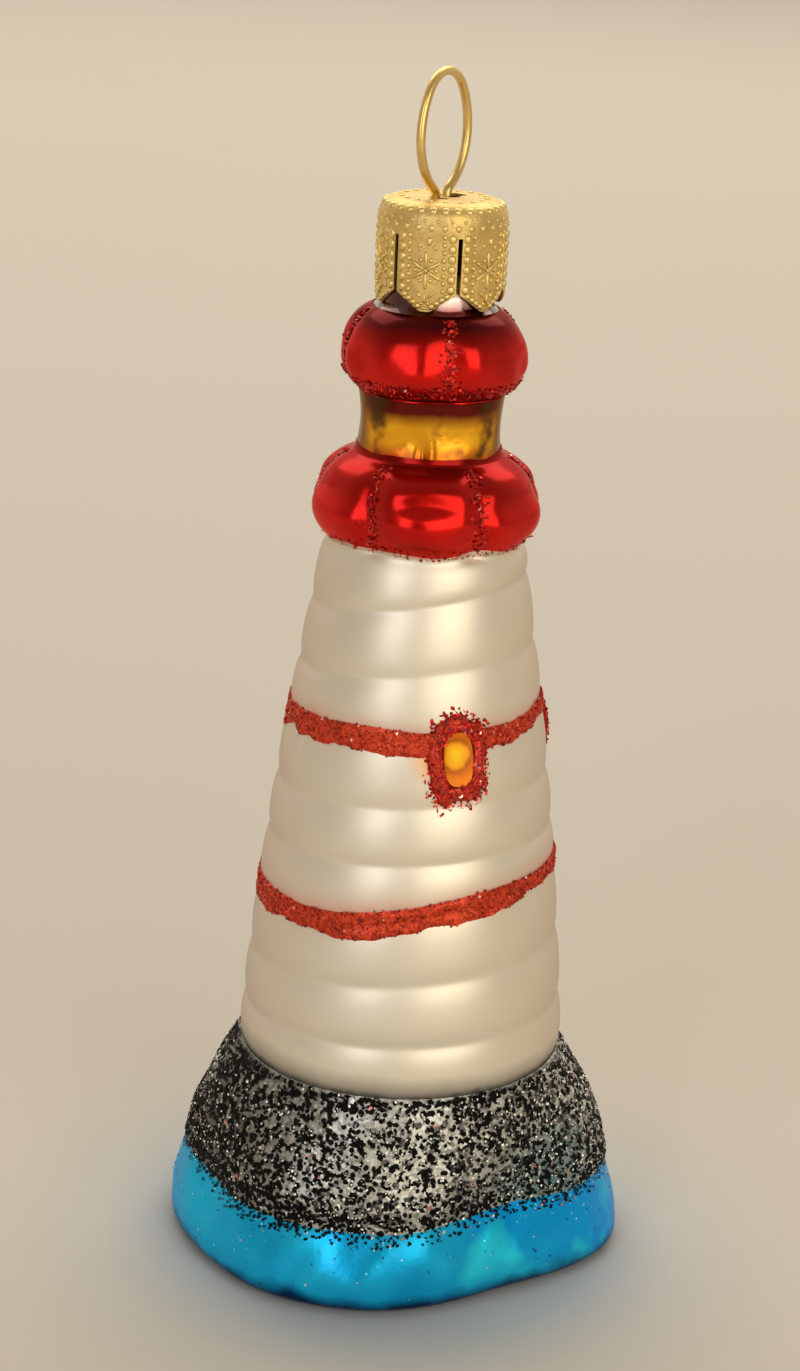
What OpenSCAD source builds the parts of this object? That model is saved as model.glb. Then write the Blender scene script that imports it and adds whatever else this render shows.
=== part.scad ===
// Lighthouse Christmas tree ornament: mould-blown glass, lacquer and glitter coats,
// a stamped cap and a spring-wire hanger. Millimetres.
// The origin is on the tower's axis in the flat underside, +Z is up and the
// front window faces nearly -Y. Azimuths are degrees from -Y towards +X.

/* [Sea] */
// Height of the sea, up to the mean line where the rock glitter starts
sea_h = 10; // [7:0.1:13]
// Radius of the flat underside
underside_r = 21; // [18:0.1:22]
// Widest radius of the sea, out at its corners
sea_r = 23.3; // [20:0.1:26]
// Radius where the sea meets the rock
shore_r = 22.1; // [19:0.1:25]
// Height of the rounded lower edge
sea_edge_h = 1.6; // [0.6:0.1:3]
// Height of the wave in the line between sea and rock
shore_wave = 0.8; // [0:0.1:2]

/* [Rock] */
// Height of the rock, from the sea line to the tower's foot
rock_h = 11.5; // [8:0.1:16]
// How far the rock's slope swells out past a straight line
rock_swell = 0.45; // [0:0.05:2]
// Radius of the rock's upper edge
rock_top_r = 16.4; // [15:0.1:20]

/* [Tower] */
// Height of the white tower, from the rock to the gallery
tower_h = 53.2; // [40:0.2:70]
// Radius of the tower's foot
foot_r = 16.05; // [13:0.05:20]
// Radius under the gallery
tower_top_r = 9.4; // [7:0.1:12]
// How the taper bends: 1 is a straight cone, more is fuller at mid height
taper_bend = 1.38; // [1:0.01:2]
// How far a course of stone bulges past its grooves
course_bulge = 0.42; // [0:0.01:1]
// Direction in which the hand-blown grooves rise
tilt_az = 68; // [-180:1:180]

/* [Gallery] */
// Height of the gallery's cushion ring
gallery_h = 8.8; // [6:0.1:12]
// Widest radius of the gallery
gallery_r = 11.15; // [9:0.05:14]
// Depth of the creases between the gallery's lobes
gallery_crease = 0.65; // [0:0.05:1.5]

/* [Lantern] */
// Height of the lantern drum
lantern_h = 6; // [4:0.1:9]
// Radius of the lantern drum
lantern_r = 6.95; // [5:0.05:9]

/* [Roof] */
// Height of the roof's cushion
roof_h = 8.5; // [6:0.1:12]
// Widest radius of the roof, at the eave
roof_r = 9; // [7:0.1:12]
// Depth of the creases between the roof's lobes
roof_crease = 0.6; // [0:0.05:1.5]

/* [Glass] */
// Thickness of the blown glass
glass_wall = 0.9; // [0.6:0.05:2]
// Outer radius of the neck under the cap
neck_r = 5.5; // [4:0.05:6]
// How far the neck stands above the roof
neck_h = 9.3; // [6:0.1:12]

/* [Coats] */
// Thickness of a lacquer coat
lacquer_t = 0.2; // [0.1:0.05:0.5]
// Thickness of the dense rock glitter
rock_glitter_t = 0.45; // [0.2:0.05:0.8]
// Thickness of a glitter line over its lacquer
glitter_t = 0.45; // [0.2:0.05:0.8]
// Width of the upper red band
upper_band_w = 1.8; // [1:0.1:4]
// Width of the lower red band
lower_band_w = 2; // [1:0.1:4]
// Width of the glitter ribs on gallery and roof
rib_w = 1.1; // [0.6:0.1:2]

/* [Windows] */
// Width of the glitter frame's outline
frame_w = 6.4; // [4:0.1:9]
// Height of the glitter frame's outline
frame_h = 8.7; // [5:0.1:12]
// Width of the frame's bar
frame_bar = 1.9; // [0.8:0.1:2.5]
// How far the windows' middle hangs below the upper band's groove
window_drop = 1.435; // [-9.1:0.005:20]

/* [Cap] */
// Gap between the neck and the inside of the cap's skirt
cap_fit = 0.55; // [-0.8:0.05:2.2]
// How far off the neck's axis the cap sits, towards the grooves' high side
cap_shift = 0.3; // [0:0.05:0.4]
// Height of the cap down to the tongues' tips
cap_h = 10.15; // [8:0.05:14]
// Thickness of the stamped sheet
cap_t = 0.3; // [0.2:0.05:0.6]
// Radius of the cap's shoulder
cap_shoulder_r = 1.8; // [0.6:0.1:2.5]
// Depth from the cap's top to the slits' ends
slit_from = 3.1; // [2:0.1:5]
// Width of a slit between two tongues
slit_w = 0.5; // [0.2:0.05:1.2]
// Height of the tongues' pointed ends
tongue_tip_h = 1.85; // [1:0.05:4]
// Gap between the neck's top and the cap's top sheet
cap_gap = 0.8; // [0.2:0.1:1.5]

/* [Hanger] */
// Thickness of the spring wire
wire_d = 0.9; // [0.5:0.05:1.5]
// Width of the hanging loop, over the wire
loop_w = 9.6; // [6:0.1:14]
// Height of the loop above the cap
loop_h = 12.3; // [8:0.1:18]
// Radius of the loop's sides above their widest place
side_r = 7.5; // [5:0.1:10]
// Radius of the bends at the cap's slots
bend_r = 1.2; // [0.6:0.1:2]
// Distance between the legs where they pass through the cap
leg_gap = 2; // [1.5:0.1:5]
// Direction of the loop's width
loop_az = 128; // [-180:1:180]
// How far the spring legs reach down below the cap's top
leg_drop = 11; // [6:0.5:16]

/* [Hidden] */
steps = 48; // columns of facets around the body
cushion_power = 1.25; // how pointed the gallery's and roof's cushions are
gallery_lobes = 6;
gallery_rib_az = 8;
roof_lobes = 4;
roof_rib_az = -11;
tongues = 6;
slit_az = -5.7;
window_azs = [-2.5, 90, 180];
window_names = ["front", "right", "back"];

// The tower's courses: each one's share of the height, and how far the groove
// at its top is tilted.
course_share = [5.2, 6.3, 7.3, 4.8, 5.6, 6.6, 6.2, 6.6, 4.4];
groove_tilt = [0.7, 1.4, 1.9, 0.9, 0.8, 0.2, 1.4, 1.8, 0];
foot_tilt = 0.25;
lower_band_groove = 3;
upper_band_groove = 6;

// Hollows in the base's outline, and one corner that stands out: azimuth,
// depth, half-width in degrees.
base_hollows = [
  [14, 4.1, 24],
  [-37, 1.0, 20],
  [-82, 1.1, 14],
  [128, 2.0, 26],
  [-162, 1.4, 22],
  [58, -0.9, 15]
];

// Heights of the zones' limits.
shore_z = sea_h;
foot_z = shore_z + rock_h;
tower_z = foot_z + tower_h;
gallery_top_z = tower_z + gallery_h;
lantern_top_z = gallery_top_z + lantern_h;
roof_top_z = lantern_top_z + roof_h;
neck_top_z = roof_top_z + neck_h;
cap_top_z = neck_top_z + cap_gap + cap_t;
cap_r = neck_r + cap_fit + cap_t;
cap_low_z = cap_top_z - cap_h;
window_z = groove_z(upper_band_groove) - foot_z - window_drop;
window_mid_z = foot_z + window_z;

function sum_to(list, n, i = 0) = i >= n ? 0 : list[i] + sum_to(list, n, i + 1);
function groove_z(k) = foot_z + tower_h * sum_to(course_share, k)
  / sum_to(course_share, len(course_share));
function tilt_of(k) = k == 0 ? foot_tilt : groove_tilt[k - 1];
// The hand-laid bands sag or rise in one place each.
function band_drift(k, a) = k == lower_band_groove ? -0.8 * bell(wrap(a + 45), 24)
  : k == upper_band_groove ? 1.2 * bell(wrap(a - 75), 30) : 0;
function groove_at(k, a) = groove_z(k) + tilt_of(k) * cos(a - tilt_az) + band_drift(k, a);

// An angle brought to within half a turn of 0.
function wrap(a) = a - 360 * round(a / 360);
function bell(x, half) = exp(-pow(x / half, 2) / 2);
function mix(p, q, t) = p + (q - p) * t;

// How much of the base's hollow outline shows at a height.
function hollow_share(z) = z >= foot_z ? 0
  : z <= shore_z ? 1 : pow((foot_z - z) / rock_h, 0.8);
function hollow_depth(a) = sum_to([for (h = base_hollows) h[1] * bell(wrap(a - h[0]), h[2])],
  len(base_hollows));
function shore_at(a) = shore_z - 0.3 + shore_wave
  * (-cos(a + 37) + 0.35 * cos(3 * a) + 0.2 * sin(5 * a));

// Radius of the moulded outline over the height, before lobes and bulges.
function sea_radius(z) = z < sea_edge_h
  ? mix(underside_r, sea_r, sqrt(1 - pow(1 - max(z, 0) / sea_edge_h, 2)))
  : let (u = min(1, max(0, (z / sea_h - 0.25) / 0.6))) mix(sea_r, shore_r, u * u * (3 - 2 * u));
function rock_radius(z) = mix(shore_r, rock_top_r, (z - shore_z) / rock_h)
  + rock_swell * sin(180 * (z - shore_z) / rock_h);
function tower_radius(z) = mix(foot_r, tower_top_r,
  pow(min(1, max(0, (z - foot_z) / tower_h)), taper_bend));
function base_radius(z, a) = (z < shore_z ? sea_radius(z) : rock_radius(z))
  - hollow_depth(a) * hollow_share(z);

// Share of a full crease at an azimuth, for a ring of lobes.
function crease(a, n, az) = pow(abs(cos(n * (a - az) / 2)), 10);

// Rows of points up the body. Each is [kind, height, number], and row_point
// gives the place on the glass at an azimuth, "out" millimetres off it.
course_marks = [0.3, 0.72];
sea_rows = [for (t = [0, 0.04, 0.16, 0.4, 0.65, 0.85, 1]) ["sea", t, 0]];
rock_rows = [for (t = [0.2, 0.45, 0.7, 0.88, 1]) ["rock", t, 0]];
tower_rows = [
  for (k = [0:len(course_share) - 1]) for (t = concat(
    k == lower_band_groove || k == upper_band_groove ? [0, "over"] : [0],
    course_marks,
    k == lower_band_groove - 1 || k == upper_band_groove - 1 ? ["under"] : []))
    if (k > 0 || t != 0) ["course", t, k]
];
gallery_rows = [for (s = [-62, -40, -15, 15, 40, 62, 82]) ["gallery", s, 0]];
lantern_rows = [for (t = [0.12, 0.5, 0.9]) ["lantern", t, 0]];
roof_rows = [for (s = [-75, -50, -25, 0, 30, 55, 78]) ["roof", s, 0]];
neck_rows = [for (t = [0.05, 0.5, 1]) ["neck", t, 0]];
rows = concat(sea_rows, rock_rows, tower_rows, gallery_rows, lantern_rows,
  roof_rows, neck_rows);

sea_end = len(sea_rows) - 1;
rock_end = sea_end + len(rock_rows);
tower_end = rock_end + len(tower_rows) + 1;
gallery_end = rock_end + len(tower_rows) + len(gallery_rows);
lantern_end = gallery_end + len(lantern_rows) + 1;
roof_end = lantern_end - 1 + len(roof_rows);
last_row = len(rows) - 1;

function band_w(k) = k == lower_band_groove ? lower_band_w : upper_band_w;
function band_half(k, a) = band_w(k) / 2 * (1 + 0.1 * sin(3 * a + 40 * k)
  + 0.08 * sin(7 * a) + 0.28 * cos(a + 49));
function gallery_mid() = tower_z + gallery_h * 0.43;
function roof_mid() = lantern_top_z + roof_h * 0.4;

// Radius and height of the point at azimuth a in one row.
function course_rz(k, t, a) = let (
    low = groove_at(k, a),
    high = groove_at(k + 1, a),
    z = t == "over" ? low + band_half(k, a)
      : t == "under" ? high - band_half(k + 1, a) : mix(low, high, t),
    s = (z - low) / (high - low)
  ) [tower_radius(z) + course_bulge * (1 - pow(abs(2 * s - 1), 3)), z];
function gallery_rz(s, a) = [
  mix(lantern_r, gallery_r, pow(cos(s), cushion_power)) - gallery_crease * cos(s)
    * crease(a, gallery_lobes, gallery_rib_az),
  gallery_mid() + sin(s) * (s > 0 ? tower_z + gallery_h - gallery_mid()
    : gallery_mid() - tower_z + 0.6)
];
function roof_rz(s, a) = [
  mix(neck_r, roof_r, pow(cos(s), cushion_power)) - roof_crease * cos(s)
    * crease(a, roof_lobes, roof_rib_az) + (s < -60 ? lantern_r - neck_r - 0.6 : 0),
  roof_mid() + sin(s) * (s > 0 ? roof_top_z - roof_mid() : roof_mid() - lantern_top_z)
];
function row_rz(row, a) =
  row[0] == "sea" ? let (z = mix(0, shore_at(a), row[1])) [base_radius(z, a), z]
  : row[0] == "rock" ? let (z = mix(shore_at(a), groove_at(0, a), row[1]))
    [row[1] == 1 ? foot_r : base_radius(min(z, foot_z), a), z]
  : row[0] == "course" ? course_rz(row[2], row[1], a)
  : row[0] == "gallery" ? gallery_rz(row[1], a)
  : row[0] == "lantern" ? [lantern_r, mix(gallery_top_z, lantern_top_z, row[1])]
  : row[0] == "roof" ? roof_rz(row[1], a)
  : [neck_r, mix(roof_top_z, neck_top_z, row[1])];

function place(r, a, z) = [r * sin(a), -r * cos(a), z];
function row_point(i, a, out) = let (p = row_rz(rows[i], a)) place(p[0] + out, a, p[1]);
function column_az(j) = gallery_rib_az + 360 * j / steps;

// Radius of the white tower's glass at any height and azimuth.
function course_of(z, a, k = 0) = k >= len(course_share) - 1 || z < groove_at(k + 1, a)
  ? k : course_of(z, a, k + 1);
function tower_r_at(z, a) = let (
    k = course_of(z, a),
    s = (z - groove_at(k, a)) / (groove_at(k + 1, a) - groove_at(k, a))
  ) tower_radius(z) + course_bulge * (1 - pow(abs(2 * s - 1), 3));

// Faces between closed loops of n points: consecutive loops, and the last to
// the first when the whole is a ring.
function loop_faces(n, loops, ring) = [
  for (i = [0:loops - (ring ? 1 : 2)], j = [0:n - 1]) let (
    p = i * n + j,
    q = i * n + (j + 1) % n,
    u = ((i + 1) % loops) * n + j,
    v = ((i + 1) % loops) * n + (j + 1) % n
  ) each [[p, v, q], [p, u, v]]
];

// A closed coat over rows i0 to i1, from "inner" to "outer" off the glass.
// Its first and last rows thin out to "edge" when that is given.
module coat(i0, i1, inner, outer, edge = -1) {
  n = i1 - i0 + 1;
  thick = function (i) edge >= 0 && (i == i0 || i == i1) ? edge : outer;
  points = concat(
    [for (i = [i0:i1], j = [0:steps - 1]) row_point(i, column_az(j), thick(i))],
    [for (i = [i1:-1:i0], j = [0:steps - 1]) row_point(i, column_az(j), inner)]
  );
  polyhedron(points = points, faces = loop_faces(steps, 2 * n, true), convexity = 8);
}

// A strip that follows one meridian over rows i0 to i1.
module meridian_strip(i0, i1, a, width, inner, outer) {
  n = i1 - i0 + 1;
  half = function (i) width / 2 / row_rz(rows[i], a)[0] * 180 / PI;
  loop = function (i) [
    row_point(i, a - half(i), inner),
    row_point(i, a - half(i) * 0.6, outer),
    row_point(i, a + half(i) * 0.6, outer),
    row_point(i, a + half(i), inner)
  ];
  points = [for (i = [i0:i1]) each loop(i)];
  ends = [[0, 1, 2, 3], [for (j = [3:-1:0]) (n - 1) * 4 + j]];
  polyhedron(points = points, faces = concat(loop_faces(4, n, false), ends));
}

// A rounded upright outline on the tower's face: n points, w by h overall.
function window_point(a, z, w, h, t, out) = let (
    c = cos(t),
    s = sin(t),
    u = w / 2 * sign(c) * pow(abs(c), 0.7),
    v = h / 2 * sign(s) * pow(abs(s), 0.7),
    az = a + u / tower_radius(z) * 180 / PI
  ) place(tower_r_at(z + v, az) + out, az, z + v);
window_points = 24;
function window_loop(a, w, h, out) = [
  for (j = [0:window_points - 1])
    window_point(a, window_mid_z, w, h, 360 * j / window_points, out)
];

module window_frame(a) {
  low = lacquer_t;
  top = lacquer_t + glitter_t;
  w = frame_w - 2 * frame_bar;
  h = frame_h - 2 * frame_bar;
  polyhedron(
    points = concat(
      window_loop(a, frame_w, frame_h, low),
      window_loop(a, frame_w - 0.5, frame_h - 0.5, top),
      window_loop(a, w + 0.5, h + 0.5, top),
      window_loop(a, w, h, low)
    ),
    faces = loop_faces(window_points, 4, true)
  );
}

module window_pane(a) {
  w = frame_w - 2 * frame_bar;
  h = frame_h - 2 * frame_bar;
  n = window_points;
  mid = function (out) window_point(a, window_mid_z, 0, 0, 0, out);
  polyhedron(
    points = concat(window_loop(a, w, h, lacquer_t), window_loop(a, w, h, 2 * lacquer_t),
      [mid(lacquer_t), mid(2 * lacquer_t)]),
    faces = concat(
      loop_faces(n, 2, false),
      [for (j = [0:n - 1]) [2 * n, j, (j + 1) % n]],
      [for (j = [0:n - 1]) [2 * n + 1, n + (j + 1) % n, n + j]]
    )
  );
}

// The blown glass: one closed wall, open only at the neck's top.
module glass_shell() {
  picks = [for (i = [1:last_row]) if (i < 6 || i % 2 == 0 || i > last_row - 3) i];
  outer = [for (i = [0:last_row], j = [0:steps - 1]) row_point(i, column_az(j), 0)];
  inner = [
    for (m = [len(picks) - 1:-1:0], j = [0:steps - 1]) let (
      p = row_point(picks[m], column_az(j), -glass_wall)
    ) [p[0], p[1], m == len(picks) - 1 ? p[2] : max(p[2], glass_wall)]
  ];
  loops = last_row + 1 + len(picks);
  color("silver", 0.6)
    polyhedron(
      points = concat(outer, inner),
      faces = concat(
        loop_faces(steps, loops, false),
        [[for (j = [0:steps - 1]) j]],
        [[for (j = [steps - 1:-1:0]) (loops - 1) * steps + j]]
      ),
      convexity = 10
    );
}

module sea_lacquer() {
  color("deepskyblue") coat(1, sea_end, 0, lacquer_t);
}

module rock_glitter() {
  color("dimgray") coat(sea_end, rock_end, 0, rock_glitter_t, lacquer_t);
}

module tower_lacquer() {
  color("ivory") coat(rock_end, tower_end, 0, lacquer_t);
}

module gallery_lacquer() {
  color("firebrick") coat(tower_end, gallery_end, 0, lacquer_t);
}

module lantern_lacquer() {
  color("goldenrod") coat(gallery_end, lantern_end, 0, lacquer_t);
}

module roof_lacquer() {
  color("firebrick") coat(lantern_end, roof_end, 0, lacquer_t);
}

function band_row(k) = [for (i = [0:last_row]) if (rows[i] == ["course", 0, k]) i][0];

module band(k) {
  i = band_row(k);
  color("orangered") coat(i - 1, i + 1, lacquer_t, lacquer_t + glitter_t, lacquer_t + 0.2);
}

module gallery_rim_glitter() {
  color("crimson") coat(tower_end, tower_end + 1, lacquer_t, lacquer_t + glitter_t * 0.7);
}

module eave_glitter() {
  color("crimson") coat(lantern_end + 1, lantern_end + 2, lacquer_t, lacquer_t + glitter_t * 0.7);
}

module gallery_rib(n) {
  color("crimson")
    meridian_strip(tower_end + 1, gallery_end, gallery_rib_az + 360 / gallery_lobes * n,
      rib_w, lacquer_t, lacquer_t + glitter_t);
}

module roof_rib(n) {
  color("crimson")
    meridian_strip(lantern_end + 2, roof_end, roof_rib_az + 360 / roof_lobes * n,
      rib_w, lacquer_t, lacquer_t + glitter_t);
}

// The cap: a stamped cup with six slit tongues that end in points.
module cap_profile(inset) {
  shoulder = cap_r - cap_shoulder_r;
  translate([0, cap_top_z - cap_shoulder_r - cap_h])
    square([cap_r - inset, cap_h]);
  translate([0, cap_top_z - cap_shoulder_r])
    square([shoulder, cap_shoulder_r - inset]);
  intersection() {
    translate([shoulder, cap_top_z - cap_shoulder_r])
      circle(r = cap_shoulder_r - inset, $fn = 48);
    translate([shoulder, cap_top_z - cap_shoulder_r])
      square(cap_shoulder_r);
  }
}

module cap_cutter(a) {
  w = 2 * cap_r * sin(180 / tongues);
  rotate([0, 0, a]) {
    translate([-slit_w / 2, -2 * cap_r, cap_low_z - 1])
      cube([slit_w, 2 * cap_r, cap_h - slit_from + 1]);
    translate([0, 0, cap_low_z])
      rotate([90, 0, 0])
        linear_extrude(2 * cap_r)
          polygon([[-w / 2 + 0.5, -1], [-w / 2 + 0.5, 0], [0, tongue_tip_h], [w / 2 - 0.5, 0],
            [w / 2 - 0.5, -1]]);
  }
}

module crown_cap() {
  color("gold")
    translate(place(cap_shift, tilt_az, 0)) difference() {
      intersection() {
        rotate_extrude($fn = 96) cap_profile(0);
        translate([0, 0, cap_low_z]) cylinder(r = cap_r + 1, h = cap_h);
      }
      rotate_extrude($fn = 96) cap_profile(cap_t);
      for (n = [0:tongues - 1]) cap_cutter(slit_az + 360 / tongues * n);
      rotate([0, 0, loop_az - 90]) leg_slots();
    }
}

module leg_slots() {
  for (side = [-1, 1])
    translate([side * leg_gap / 2, 0, cap_top_z - cap_shoulder_r])
      cylinder(d = wire_d + 0.6, h = cap_shoulder_r * 2, $fn = 32);
}

// The hanger, drawn in its own XZ plane from the top of its arch: the sides
// close in to the slots, and the legs spring out inside the neck.
arch_angle = 55;
loop_half = (loop_w - wire_d) / 2;
arch_r = (loop_half - side_r * (1 - sin(arch_angle))) / sin(arch_angle);
arch_z = cap_top_z + loop_h - wire_d / 2;
widest_z = arch_z - arch_r * (1 - cos(arch_angle)) - side_r * cos(arch_angle);
close_drop = widest_z - cap_top_z + cap_t / 2;
close_in = loop_half - leg_gap / 2;
close_r = (close_drop * close_drop + close_in * close_in) / (2 * close_in);
close_angle = asin(close_drop / close_r);
lower_r = close_r - bend_r;
leg_out = neck_r - glass_wall - wire_d / 2 - 0.15;
leg_angle = atan((leg_out - leg_gap / 2) / leg_drop);
leg_length = (leg_drop - bend_r * sin(leg_angle)) / cos(leg_angle);

// One piece of wire from the origin up +Z, and what follows set on its end.
module wire_straight(length) {
  cylinder(d = wire_d, h = length, $fn = 32);
  translate([0, 0, length]) children();
}

module wire_bend(radius, angle) {
  translate([radius, 0, 0])
    rotate([90, 0, 0])
      rotate([0, 0, 180 - angle])
        rotate_extrude(angle = angle, $fn = 96)
          translate([radius, 0]) circle(d = wire_d, $fn = 32);
  translate([radius * (1 - cos(angle)), 0, radius * sin(angle)])
    rotate([0, angle, 0]) children();
}

module wire_knot() {
  sphere(d = wire_d * 1.04, $fn = 32);
  children();
}

module hanger_side() {
  translate([arch_r * sin(arch_angle), 0, arch_z - arch_r * (1 - cos(arch_angle))])
    rotate([0, 90 + arch_angle, 0])
      wire_knot()
        wire_bend(side_r, 90 - arch_angle)
          wire_knot()
            wire_bend(lower_r, close_angle)
              wire_knot()
                mirror([1, 0, 0])
                  wire_bend(bend_r, close_angle + leg_angle)
                    wire_knot()
                      wire_straight(leg_length);
}

module hanger_wire() {
  color("gold")
    rotate([0, 0, loop_az - 90]) {
      translate([0, 0, arch_z - arch_r])
        rotate([90, 0, 0])
          rotate([0, 0, 90 - arch_angle])
            rotate_extrude(angle = 2 * arch_angle, $fn = 96)
              translate([arch_r, 0]) circle(d = wire_d, $fn = 32);
      hanger_side();
      rotate([0, 0, 180]) hanger_side();
    }
}

glass_shell();
sea_lacquer();
rock_glitter();
tower_lacquer();
gallery_lacquer();
lantern_lacquer();
roof_lacquer();
band(lower_band_groove);  // lower_band
band(upper_band_groove);  // upper_band
gallery_rim_glitter();
eave_glitter();
for (n = [0:len(window_azs) - 1]) {
  color("crimson") window_frame(window_azs[n]);
  color("orange") window_pane(window_azs[n]);
}
for (n = [0:gallery_lobes - 1])
  gallery_rib(n);
for (n = [0:roof_lobes - 1])
  roof_rib(n);
crown_cap();
hanger_wire();
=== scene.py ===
import math

import bmesh
import bpy
import numpy as np
from bpy.props import FloatProperty, FloatVectorProperty, IntProperty
from mathutils import Matrix, Vector


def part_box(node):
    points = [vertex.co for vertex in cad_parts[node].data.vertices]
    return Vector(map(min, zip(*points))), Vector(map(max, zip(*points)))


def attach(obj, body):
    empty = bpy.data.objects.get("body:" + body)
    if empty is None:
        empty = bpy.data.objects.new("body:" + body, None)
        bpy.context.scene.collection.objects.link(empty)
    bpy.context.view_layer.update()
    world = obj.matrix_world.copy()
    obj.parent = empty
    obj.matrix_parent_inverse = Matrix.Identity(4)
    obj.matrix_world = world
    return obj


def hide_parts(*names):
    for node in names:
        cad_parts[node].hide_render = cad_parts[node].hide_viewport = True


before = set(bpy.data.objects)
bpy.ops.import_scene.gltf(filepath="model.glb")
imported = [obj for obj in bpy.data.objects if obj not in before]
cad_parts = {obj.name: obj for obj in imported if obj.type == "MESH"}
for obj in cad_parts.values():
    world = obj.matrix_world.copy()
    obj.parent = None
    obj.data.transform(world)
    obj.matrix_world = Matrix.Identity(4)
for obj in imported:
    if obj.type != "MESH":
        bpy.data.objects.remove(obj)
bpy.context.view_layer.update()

bl_info = {
    "name": "Blown glass lighthouse ornament",
    "version": (1, 0, 0),
    "blender": (4, 5, 0),
    "location": "View3D > Sidebar > Ornament",
    "description": "Builds a mould-blown glass lighthouse with lacquer, glitter, cap and hanger",
    "category": "Add Mesh",
}

# ---------------------------------------------------------------------------
# Places and sizes. Everything is in millimetres here; MM turns it into metres.
# Azimuths are degrees from -Y towards +X.
# ---------------------------------------------------------------------------
MM = 0.001
COLUMNS = 144


def low(node):
    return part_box(node)[0] / MM


def high(node):
    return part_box(node)[1] / MM


LACQUER = 0.2                # lacquer over the glass
COAT_SKIN = 0.15             # thickness of a coat's visible skin
GLASS_WALL = 0.9
CAP_SHEET = 0.3
FOOT_TILT = 0.25
TILT_AZ = 68.0               # the side on which the hand-blown grooves rise
COURSE_SHARE = (5.2, 6.3, 7.3, 4.8, 5.6, 6.6, 6.2, 6.6, 4.4)
GROOVE_TILT = (0.25, 0.7, 1.4, 1.9, 0.9, 0.8, 0.2, 1.4, 1.8, 0.0)
LOWER_GROOVE, UPPER_GROOVE = 3, 6
COURSE_BULGE = 0.42
TAPER_BEND = 1.38
# Hollows in the base's outline, and one corner: azimuth, depth, half-width.
BASE_HOLLOWS = ((14, 4.1, 24), (-37, 1.0, 20), (-82, 1.1, 14), (128, 2.0, 26),
                (-162, 1.4, 22), (58, -0.9, 15))
GALLERY_LOBES, GALLERY_RIB_AZ = 6, 8.0
ROOF_LOBES, ROOF_RIB_AZ = 4, -11.0
CUSHION_POWER = 1.25
WINDOW_AZS = {"front": -2.5, "right": 90.0, "back": 180.0}
PLAIN_WINDOW_AZ = -90.0
LANTERN_CORNER_AZ = 24.0
TONGUES, SLIT_AZ = 6, -5.7
LOOP_AZ = 128.0
TONGUE_TIP = 1.85            # height of the tongues' points

# Heights of the zones' limits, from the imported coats.
FOOT_Z = low("tower_lacquer").z + FOOT_TILT
GALLERY_LOW_Z = low("gallery_lacquer").z
GALLERY_HIGH_Z = high("gallery_lacquer").z
ROOF_LOW_Z = low("roof_lacquer").z
ROOF_HIGH_Z = high("roof_lacquer").z
GLASS_TOP_Z = high("glass_shell").z
CAP_LOW_Z = low("crown_cap").z
CAP_TOP_Z = high("crown_cap").z
LOOP_TOP_Z = high("hanger_wire").z
SHORE_Z = FOOT_Z - 11.5
TOWER_H = 53.2
UNDERSIDE_R, SEA_R, SHORE_R, ROCK_TOP_R = 21.0, 23.3, 22.1, 16.4
SEA_EDGE_H, SHORE_WAVE, ROCK_SWELL = 1.6, 0.8, 0.45
FOOT_R, TOWER_TOP_R = 16.05, 9.4
GALLERY_R, LANTERN_R, ROOF_R, NECK_R = 11.15, 6.95, 9.0, 5.5
GALLERY_CREASE, ROOF_CREASE = 0.65, 0.6
WINDOW_Z = (low("front_window_frame").z + high("front_window_frame").z) / 2
PANE_Z = (low("front_window_pane").z + high("front_window_pane").z) / 2


# ---------------------------------------------------------------------------
# The blown outline, as functions of height and azimuth on numpy arrays.
# ---------------------------------------------------------------------------
def cosd(a):
    return np.cos(np.radians(a))


def sind(a):
    return np.sin(np.radians(a))


def mix(p, q, t):
    return p + (q - p) * t


def wrap(a):
    return (a + 180.0) % 360.0 - 180.0


def bell(x, half):
    return np.exp(-((x / half) ** 2) / 2)


def groove_z(k):
    return FOOT_Z + TOWER_H * sum(COURSE_SHARE[:k]) / sum(COURSE_SHARE)


def band_drift(k, a):
    """The hand-laid bands sag or rise in one place each."""
    if k == LOWER_GROOVE:
        return -0.8 * bell(wrap(a + 45), 24)
    return 1.2 * bell(wrap(a - 75), 30) if k == UPPER_GROOVE else 0.0


def groove_at(k, a):
    return groove_z(k) + GROOVE_TILT[k] * cosd(a - TILT_AZ) + band_drift(k, a)


def shore_at(a):
    return SHORE_Z - 0.3 + SHORE_WAVE * (
        -cosd(a + 37) + 0.35 * cosd(3 * a) + 0.2 * sind(5 * a))


def hollow_depth(a):
    return sum(depth * bell(wrap(a - az), half) for az, depth, half in BASE_HOLLOWS)


def blown(z, a):
    """Slow unevenness of hand-blown glass, within a quarter of a millimetre."""
    return (0.20 * sind(3 * a + 14 * z) * sind(9 * z + 30) + 0.15 * sind(7 * a - 21 * z)
            + 0.10 * sind(13 * a + 31 * z + 50) + 0.05 * sind(29 * a - 40 * z))


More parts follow.
